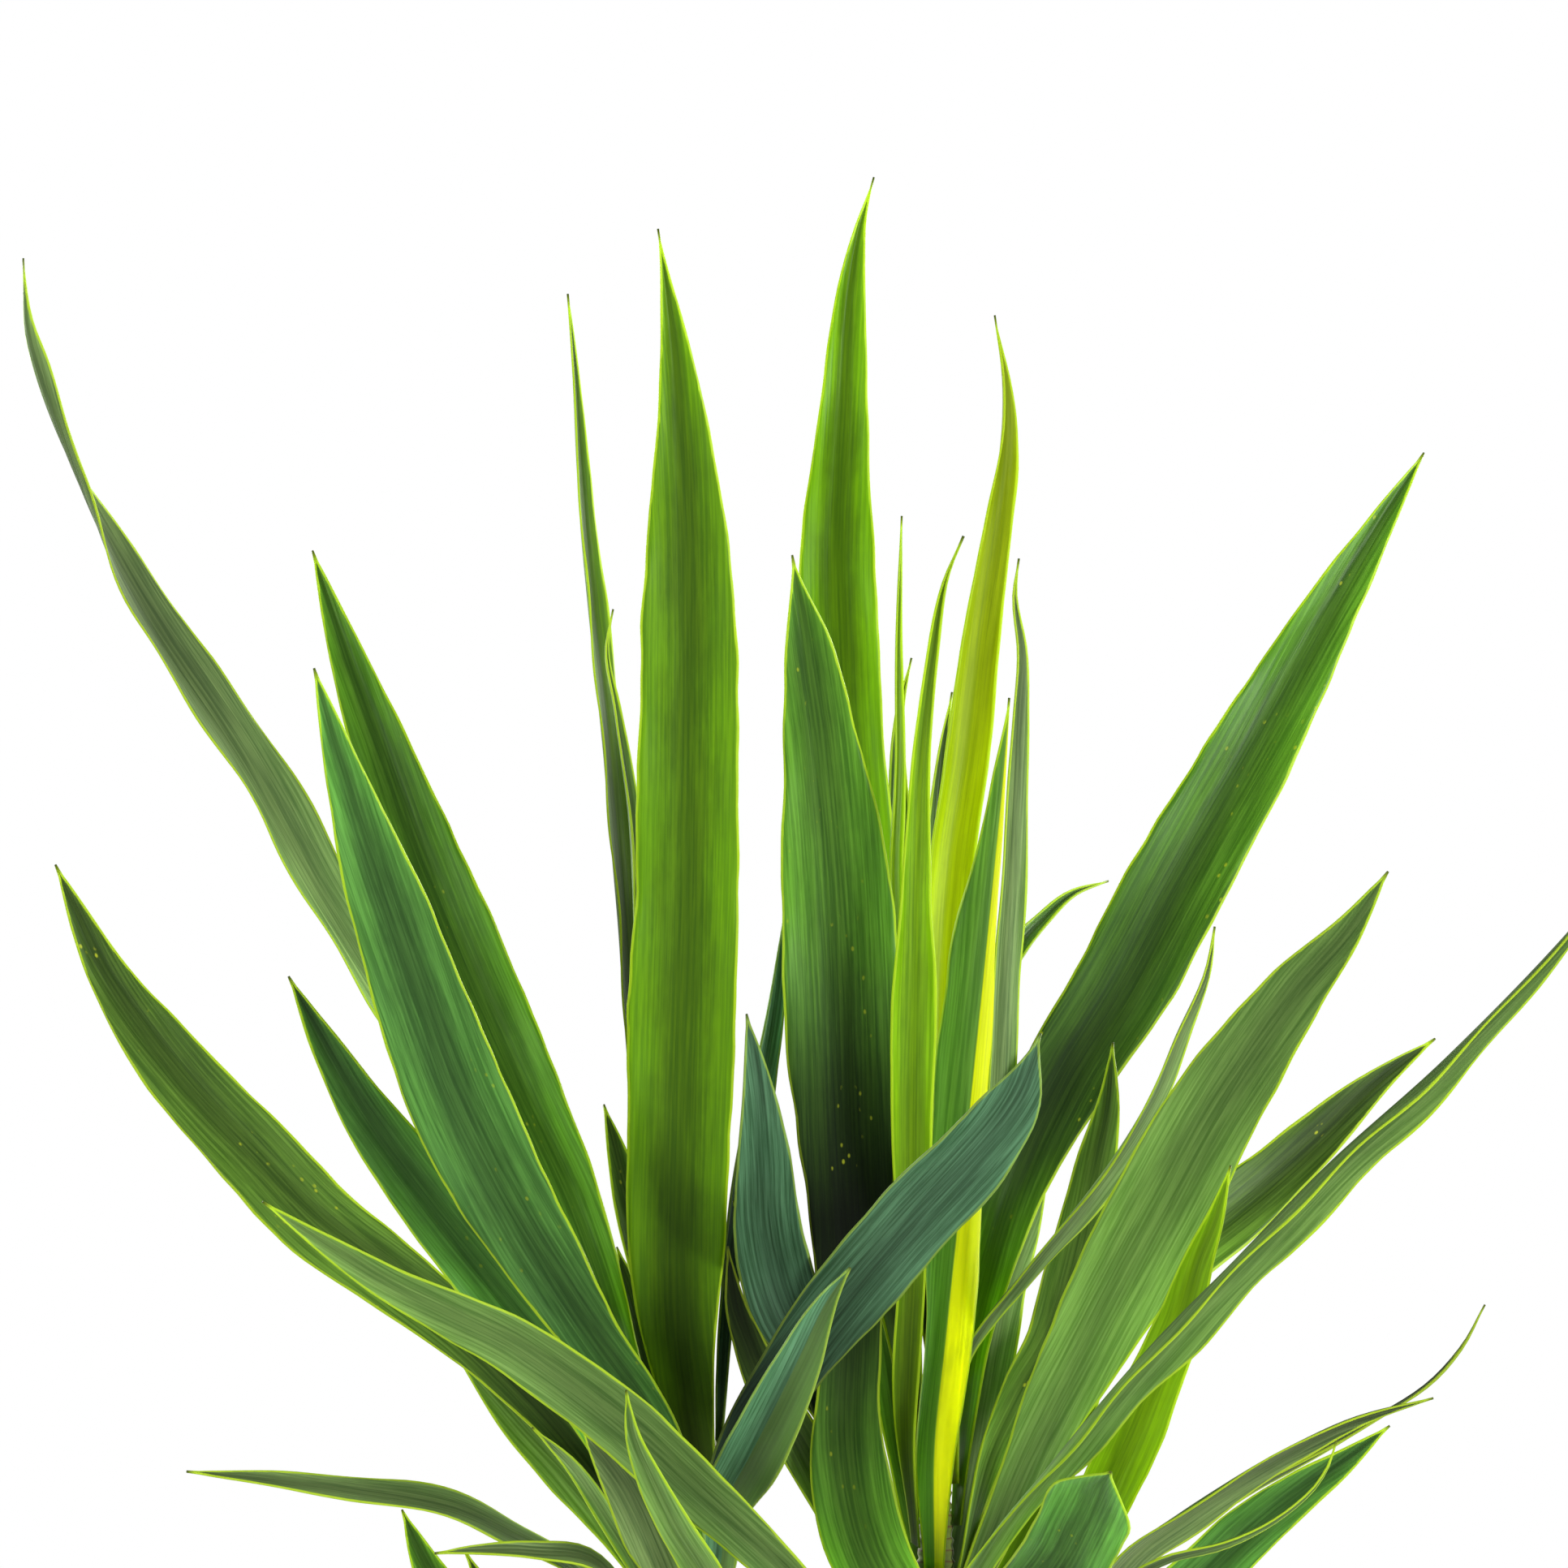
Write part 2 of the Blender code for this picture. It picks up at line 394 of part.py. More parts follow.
def build_soil(material, parts):
    """The soil fills the pot to just below its rim and holds the cane's foot."""
    def side(height):
        # The soil's flat-sided ring lies inside the pot's, corner to corner.
        return pot_inner_radius(height) - CLEARANCE

    floor = POT_FLOOR + CLEARANCE
    socket = CANE_RADIUS + CLEARANCE
    foot = SOIL_TOP - CANE_DEPTH - CLEARANCE
    edge = SOIL_TOP - SOIL_MOUND
    profile = (
        (0.0, foot),
        (socket, foot),
        (socket, SOIL_TOP),
        (side(edge), edge),
        (side(floor), floor),
        (0.0, floor),
    )
    return turned("soil", profile, material, parts, ROUND_STEPS)


def build_cane(material, parts):
    """The woody cane, sawn off level above its shoots."""
    foot = SOIL_TOP - CANE_DEPTH
    cane = cylinder("cane", CANE_RADIUS, foot, CANE_TOP, CANE_STEPS)
    move_to(cane, parts)
    cane.data.materials.append(material)
    return cane


def shoot_radius(height):
    """The shoot's radius at a height measured from the crown's height."""
    share = (SHOOT_TIP_ABOVE_CROWN - height) / (SHOOT_TIP_ABOVE_CROWN + SHOOT_LEAF_ZONE)
    return SHOOT_TIP_RADIUS + (SHOOT_BASE_RADIUS - SHOOT_TIP_RADIUS) * min(1.0, share)


def build_shoot(side, material, parts, cutters):
    """A green side shoot that leaves the cane near its top and turns straight up."""
    x = SHOOT_X[side]
    start = CANE_TOP - SHOOT_START_BELOW_TOP
    route = []
    for step in range(SHOOT_BEND_STEPS + 1):
        angle = math.pi / 2 * step / SHOOT_BEND_STEPS
        route.append((x * math.sin(angle), start + SHOOT_BEND_RISE * (1 - math.cos(angle))))
    for height in (SHOOT_STRAIGHT_FROM, 0.0, SHOOT_TIP_ABOVE_CROWN):
        route.append((x, CROWN_HEIGHT + height))
    curve = bpy.data.curves.new("shoot_" + side, "CURVE")
    curve.dimensions = "3D"
    curve.bevel_depth = 1.0
    curve.bevel_resolution = SHOOT_BEVEL_RESOLUTION
    curve.use_fill_caps = True
    spline = curve.splines.new("POLY")
    spline.points.add(len(route) - 1)
    for point, (out, height) in zip(spline.points, route):
        point.co = (out, 0.0, height, 1.0)
        point.radius = shoot_radius(height - CROWN_HEIGHT)
    tube = bpy.data.objects.new("shoot_tube", curve)
    parts.objects.link(tube)
    bpy.context.view_layer.update()
    graph = bpy.context.evaluated_depsgraph_get()
    mesh = bpy.data.meshes.new_from_object(tube.evaluated_get(graph))
    bpy.data.objects.remove(tube, do_unlink=True)
    shape = bmesh.new()
    shape.from_mesh(mesh)
    bmesh.ops.remove_doubles(shape, verts=shape.verts, dist=0.00001)
    obj = new_object("shoot_" + side, mesh_from("shoot_" + side, shape), material, parts)
    # The cutter is turned half a step, so that its flats, not its edges, face the shoots.
    half_step = math.pi / CANE_STEPS
    cutter = cylinder(
        "cane_cutter_" + side, (CANE_RADIUS + CLEARANCE) / math.cos(half_step),
        start - 2 * SHOOT_BASE_RADIUS, CANE_TOP, CANE_STEPS)
    cutter.rotation_euler.z = half_step
    move_to(cutter, cutters)
    subtract(obj, cutter)
    return obj


def ease(value):
    """A share from 0 to 1 with a level start and end."""
    return value * value * (3 - 2 * value)


def width_share(leaf, share):
    """The blade's width at a share of its length: clasping base, waist, widest part, pointed tip."""
    if leaf.outline:
        return max(0.0, spread(leaf.outline, share))
    if share < leaf.waist_at:
        return leaf.base + (leaf.waist - leaf.base) * ease(share / leaf.waist_at)
    if share < leaf.widest:
        rise = ease((share - leaf.waist_at) / (leaf.widest - leaf.waist_at))
        return leaf.waist + (1 - leaf.waist) * rise
    return 1 - ((share - leaf.widest) / (1 - leaf.widest)) ** leaf.tip


def spread(values, share):
    """The value at a share of the leaf's length, on a smooth curve through values spread along it."""
    if len(values) == 1:
        return values[0]
    last = len(values) - 1
    index = min(int(share * last), last - 1)
    t = share * last - index
    before, start, end, after = (values[min(max(index + step, 0), last)] for step in (-1, 0, 1, 2))
    return start + t * ((end - before) + t * ((2 * before - 5 * start + 4 * end - after)
                                              + t * (3 * start - 3 * end + after - before))) / 2


def midline(leaf):
    """The leaf's route in the plant's frame, from its foot just off the shoot's surface."""
    reach = shoot_radius(leaf.height) + CLEARANCE + LEAF_THICKNESS / 2
    foot = Vector((
        SHOOT_X[leaf.shoot] + reach * math.cos(leaf.heading),
        reach * math.sin(leaf.heading),
        CROWN_HEIGHT + leaf.height,
    ))
    return [foot] + [foot + Vector(point) for point in leaf.route]


def smooth_route(points):
    """A function that gives (point, direction) at a share of the smooth curve through the points."""
    marks = [0.0]
    for start, end in zip(points, points[1:]):
        marks.append(marks[-1] + (end - start).length)
    slopes = []
    for index in range(len(points)):
        low = max(index - 1, 0)
        high = min(index + 1, len(points) - 1)
        slopes.append((points[high] - points[low]) / (marks[high] - marks[low]))

    def at(share):
        place = share * marks[-1]
        index = max(i for i in range(len(points) - 1) if marks[i] <= place or i == 0)
        span = marks[index + 1] - marks[index]
        t = (place - marks[index]) / span
        start, end = points[index], points[index + 1]
        run_in, run_out = slopes[index] * span, slopes[index + 1] * span
        point = (start * (2 * t ** 3 - 3 * t ** 2 + 1) + run_in * (t ** 3 - 2 * t ** 2 + t)
                 + end * (3 * t ** 2 - 2 * t ** 3) + run_out * (t ** 3 - t ** 2))
        direction = (start * (6 * t ** 2 - 6 * t) + run_in * (3 * t ** 2 - 4 * t + 1)
                     + end * (6 * t - 6 * t ** 2) + run_out * (3 * t ** 2 - 2 * t))
        return point, direction.normalized()

    return at, marks[-1]


def stations(leaf, count):
    """(point, across, facing, half width, fold) at count + 1 places along the leaf.

    The foot lies flat round its shoot, and the blade takes its own turn and fold as it leaves it.
    """
    at, _ = smooth_route(midline(leaf))
    found = []
    across = None
    for index in range(count + 1):
        share = index / count
        point, direction = at(share)
        if across is None:
            across = Vector((0.0, 1.0, 0.0)).cross(direction).normalized()
            facing = across.cross(direction)
            clasp = Vector((-math.sin(leaf.heading), math.cos(leaf.heading), 0.0))
            clasp_turn = math.atan2(-clasp.dot(facing), clasp.dot(across))
            # Of the two ways to lie flat round the shoot, the one nearer to the blade's own turn.
            clasp_turn += math.pi * round((leaf.turns[0] - clasp_turn) / math.pi)
        else:
            across = (across - direction * across.dot(direction)).normalized()
        facing = across.cross(direction)
        settle = ease(min(1.0, share / BASE_TURN_SHARE))
        turn = clasp_turn + (spread(leaf.turns, share) - clasp_turn) * settle
        turned_across = across * math.cos(turn) - facing * math.sin(turn)
        turned_facing = facing * math.cos(turn) + across * math.sin(turn)
        half = max(leaf.width * width_share(leaf, share), TIP_WIDTH) / 2
        found.append((point, turned_across, turned_facing, half, leaf.fold * settle))
    return found


def build_leaf(leaf, material, parts):
    """A thin blade: a grid laid along the midline and given its thickness."""
    _, length = smooth_route(midline(leaf))
    count = max(6, round(length / LEAF_SECTION))
    places = stations(leaf, count)
    shape = bmesh.new()
    bmesh.ops.create_grid(shape, x_segments=2, y_segments=count, size=1.0)
    for vert in shape.verts:
        side = round(vert.co.x)
        point, across, facing, half, fold = places[round((vert.co.y + 1) / 2 * count)]
        lift = abs(side) * half * math.sin(fold)
        vert.co = point + across * (side * half * math.cos(fold)) + facing * lift
    mesh = mesh_from(leaf.name, shape)
    obj = new_object(leaf.name, mesh, material, parts)
    wall = obj.modifiers.new("Thickness", "SOLIDIFY")
    wall.thickness = LEAF_THICKNESS
    wall.offset = 0.0
    return obj


def main():
    clear_scene()
    parts = new_collection("potted_yucca")
    cutters = new_collection("cutters")
    clay = new_material("fired clay", (0.46, 0.17, 0.08), 0.8)
    earth = new_material("potting soil", (0.035, 0.022, 0.014), 0.95)
    bark = new_material("cane bark", (0.22, 0.15, 0.10), 0.85)
    green_stem = new_material("green shoot", (0.16, 0.22, 0.06), 0.6)
    blade = new_material("leaf", (0.06, 0.20, 0.03), 0.38)
    build_pot(clay, parts, cutters)
    build_soil(earth, parts)
    build_cane(bark, parts)
    for side in SHOOT_X:
        build_shoot(side, green_stem, parts, cutters)
    for leaf in LEAVES:
        build_leaf(leaf, blade, parts)


main()
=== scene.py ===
# %% [markdown]
# # Potted yucca
# A yucca with two leafy heads on one woody cane, in soil, in a plain clay pot. The sizes and the place of
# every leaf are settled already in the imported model. This script dresses that model: it lays a fine, thin
# blade where each plain leaf stands, and gives bark, stem, soil and clay their surfaces.

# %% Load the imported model
import math
from types import SimpleNamespace

import bmesh
import bpy
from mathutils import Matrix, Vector, noise


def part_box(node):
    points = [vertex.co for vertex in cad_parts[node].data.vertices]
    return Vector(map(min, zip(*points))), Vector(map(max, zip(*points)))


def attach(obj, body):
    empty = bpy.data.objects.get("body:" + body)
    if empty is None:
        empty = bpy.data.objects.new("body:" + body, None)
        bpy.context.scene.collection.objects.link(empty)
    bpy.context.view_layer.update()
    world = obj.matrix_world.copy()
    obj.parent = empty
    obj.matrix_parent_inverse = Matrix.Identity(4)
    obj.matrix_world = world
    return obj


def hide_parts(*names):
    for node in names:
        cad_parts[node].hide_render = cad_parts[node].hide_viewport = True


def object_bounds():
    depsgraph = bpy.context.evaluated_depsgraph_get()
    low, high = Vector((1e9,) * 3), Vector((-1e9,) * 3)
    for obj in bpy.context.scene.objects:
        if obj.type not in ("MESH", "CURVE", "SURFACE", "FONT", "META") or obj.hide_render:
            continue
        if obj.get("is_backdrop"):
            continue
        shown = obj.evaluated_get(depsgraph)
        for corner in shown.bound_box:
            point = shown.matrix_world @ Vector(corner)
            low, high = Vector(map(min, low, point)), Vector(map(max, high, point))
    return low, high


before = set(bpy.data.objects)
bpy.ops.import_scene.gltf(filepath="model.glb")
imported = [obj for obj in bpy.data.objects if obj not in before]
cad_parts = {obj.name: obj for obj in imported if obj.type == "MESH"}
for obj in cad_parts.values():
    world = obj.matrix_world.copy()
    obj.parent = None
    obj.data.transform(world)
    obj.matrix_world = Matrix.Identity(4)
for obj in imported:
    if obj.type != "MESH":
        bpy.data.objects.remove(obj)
size_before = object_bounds()
print("packed model:", len(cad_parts), "pieces")

# %% [markdown]
# ## Light and view
# The plant stands in a white studio. Thin leaves look right only with light behind them, so two large lamps
# stand behind the crown, and two in front draw the sheen and the shade of one leaf on the next. The walls
# look pure white but light the plant less than they would, so the heart of the crown stays deep.
# The camera is level with the crown and far away, so that the leaves keep their proportions.

# %% Camera
VIEW_CENTRE = Vector((-0.0154, 0.0, 0.838))
VIEW_WIDTH = 0.6762
VIEW_DISTANCE = 8.0
SENSOR_MM = 36.0
VIEW_CLIP_END = 50.0

camera_data = bpy.data.cameras.new("camera")
camera_data.sensor_width = SENSOR_MM
camera_data.lens = SENSOR_MM * VIEW_DISTANCE / VIEW_WIDTH
camera_data.clip_end = VIEW_CLIP_END
camera = bpy.data.objects.new("camera", camera_data)
camera.location = VIEW_CENTRE - Vector((0.0, VIEW_DISTANCE, 0.0))
camera.rotation_euler = (math.radians(90), 0.0, 0.0)
bpy.context.scene.collection.objects.link(camera)
bpy.context.scene.camera = camera
print("camera lens:", round(camera_data.lens), "mm")

# %% Colour helper
def linear(hex_colour):
    """An sRGB hex colour as the linear colour that Blender's sockets take."""
    channels = [int(hex_colour[i:i + 2], 16) / 255 for i in (0, 2, 4)]
    curve = [c / 12.92 if c <= 0.04045 else ((c + 0.055) / 1.055) ** 2.4 for c in channels]
    return (*curve, 1.0)


# %% Node helper
def add(tree, kind, settings=None, **sockets):
    """Adds a node. Sockets are named with _ for a space, or with their number as _0; a value is set, an
    output of another node is linked."""
    node = tree.nodes.new(kind)
    for name, value in (settings or {}).items():
        setattr(node, name, value)
    for name, value in sockets.items():
        socket = node.inputs[int(name[1:]) if name[1:].isdigit() else name.replace("_", " ")]
        if isinstance(value, bpy.types.NodeSocket):
            tree.links.new(value, socket)
        else:
            socket.default_value = value
    return node


def new_material(name):
    """An empty node material, with its output node."""
    material = bpy.data.materials.new(name)
    material.use_nodes = True
    material.node_tree.nodes.clear()
    return material, material.node_tree, material.node_tree.nodes.new("ShaderNodeOutputMaterial")


# %% Studio walls
WALL_LIGHT = 0.24
WHITE = (1.0, 1.0, 1.0, 1.0)

scene = bpy.context.scene
scene.view_settings.view_transform = "Standard"

world = bpy.data.worlds.new("white studio")
world.use_nodes = True
tree = world.node_tree
tree.nodes.clear()
seen = add(tree, "ShaderNodeLightPath").outputs["Is Camera Ray"]
strength = add(tree, "ShaderNodeMapRange", Value=seen, To_Min=WALL_LIGHT, To_Max=1.0).outputs[0]
walls = add(tree, "ShaderNodeBackground", Color=WHITE, Strength=strength)
add(tree, "ShaderNodeOutputWorld", Surface=walls.outputs[0])
scene.world = world
print("light from the walls:", WALL_LIGHT)

# %% Lamps
# Each one's name, place, the point it shines at, its width and its power.
LAMPS = (
    ("back_left", (-1.5, 1.7, 1.6), (0.0, 0.0, 0.85), 1.4, 72.0),
    ("back_right", (1.5, 1.6, 1.4), (0.0, 0.0, 0.80), 1.4, 72.0),
    ("front_key", (1.9, -1.8, 1.45), (0.0, 0.0, 0.75), 0.7, 88.0),
    ("front_fill", (-2.0, -1.6, 1.3), (0.0, 0.0, 0.80), 1.0, 26.0),
)
for name, place, target, size, power in LAMPS:
    lamp_data = bpy.data.lights.new(name, "AREA")
    lamp_data.size = size
    lamp_data.energy = power
    lamp = bpy.data.objects.new(name, lamp_data)
    lamp.location = place
    aim = Vector(target) - Vector(place)
    lamp.rotation_euler = aim.to_track_quat("-Z", "Y").to_euler()
    lamp.visible_camera = False
    scene.collection.objects.link(lamp)
print("lamps:", len(LAMPS))

# %% Floor
# Far from the plant the floor glows like the walls, so that it ends nowhere.
FLOOR_HALF_WIDTH = 6.0
FLOOR_PLAIN_TO = 0.5
FLOOR_GLOWS_FROM = 2.4

floor_shape = bmesh.new()
bmesh.ops.create_grid(floor_shape, x_segments=1, y_segments=1, size=FLOOR_HALF_WIDTH)
floor_mesh = bpy.data.meshes.new("floor")
floor_shape.to_mesh(floor_mesh)
floor_shape.free()
floor = bpy.data.objects.new("floor", floor_mesh)
scene.collection.objects.link(floor)
floor_material, tree, output = new_material("pale matte floor")
place = add(tree, "ShaderNodeTexCoord").outputs["Object"]
far = add(tree, "ShaderNodeVectorMath", {"operation": "LENGTH"}, Vector=place).outputs["Value"]
far = add(tree, "ShaderNodeMapRange", {"interpolation_type": "SMOOTHSTEP"}, Value=far,
          From_Min=FLOOR_PLAIN_TO, From_Max=FLOOR_GLOWS_FROM).outputs[0]
paint = add(tree, "ShaderNodeBsdfPrincipled", Base_Color=linear("e6e6e3"), Roughness=0.7)
glow = add(tree, "ShaderNodeEmission", Color=WHITE, Strength=1.0)
mixed = add(tree, "ShaderNodeMixShader", _0=far, _1=paint.outputs[0], _2=glow.outputs[0])
tree.links.new(mixed.outputs[0], output.inputs["Surface"])
floor_mesh.materials.append(floor_material)
floor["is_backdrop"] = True
print("floor:", 2 * FLOOR_HALF_WIDTH, "m wide")

# %% [markdown]
# ## How a yucca leaf is described
# A leaf is a strip that clasps its shoot, narrows to a waist, broadens past its middle and ends in a fine
# point. Each one is given: where it leaves the shoot, the route of its midrib from there, its
# full width, its turn and its fold. The same description made the plain leaves of the imported model, so the
# fine blades lie exactly where those are.

# %% Sizes that the leaves start from
MM_IN_M = 1000
SHOOT_X = {"left": -0.050, "right": 0.050}
CROWN_HEIGHT = 0.500
SHOOT_TIP_RADIUS = 0.0065
SHOOT_BASE_RADIUS = 0.0165
SHOOT_TIP_ABOVE_CROWN = 0.055
SHOOT_LEAF_ZONE = 0.175
FOOT_GAP = 0.001
BASE_TURN_SHARE = 0.30


def shoot_radius(height):
    """The shoot's radius at a height measured from the crown's height."""
    share = (SHOOT_TIP_ABOVE_CROWN - height) / (SHOOT_TIP_ABOVE_CROWN + SHOOT_LEAF_ZONE)
    return SHOOT_TIP_RADIUS + (SHOOT_BASE_RADIUS - SHOOT_TIP_RADIUS) * min(1.0, share)


# %% The leaf's description
class Leaf:
    """A route for the midrib, measured from the leaf's foot, and a width across it.

    Lengths are in millimetres here, and angles in degrees.
    height and heading say where the foot is on the shoot. turn is the blade's turn about its midrib,
    where 0 shows its face to the front. fold lifts both halves into a gutter. base, waist and
    widest shape the outline, and tip is how bluntly it ends, unless outline lists the width along it.
    """

    def __init__(self, name, height, heading, width, route, turn=0, fold=12, base=0.34, waist=0.40,
                 waist_at=0.12, widest=0.52, tip=2.0, outline=None):
        self.name = name
        self.shoot = "left" if "left" in name else "right"
        self.height = height / MM_IN_M
        self.heading = math.radians(heading)
        self.width = width / MM_IN_M
        self.route = [Vector(point) / MM_IN_M for point in route]
        self.turns = [math.radians(angle) for angle in (turn if isinstance(turn, list) else [turn])]
        self.fold = math.radians(fold)
        self.base = base
        self.waist = waist
        self.waist_at = waist_at
        self.widest = widest
        self.tip = tip
        self.outline = outline


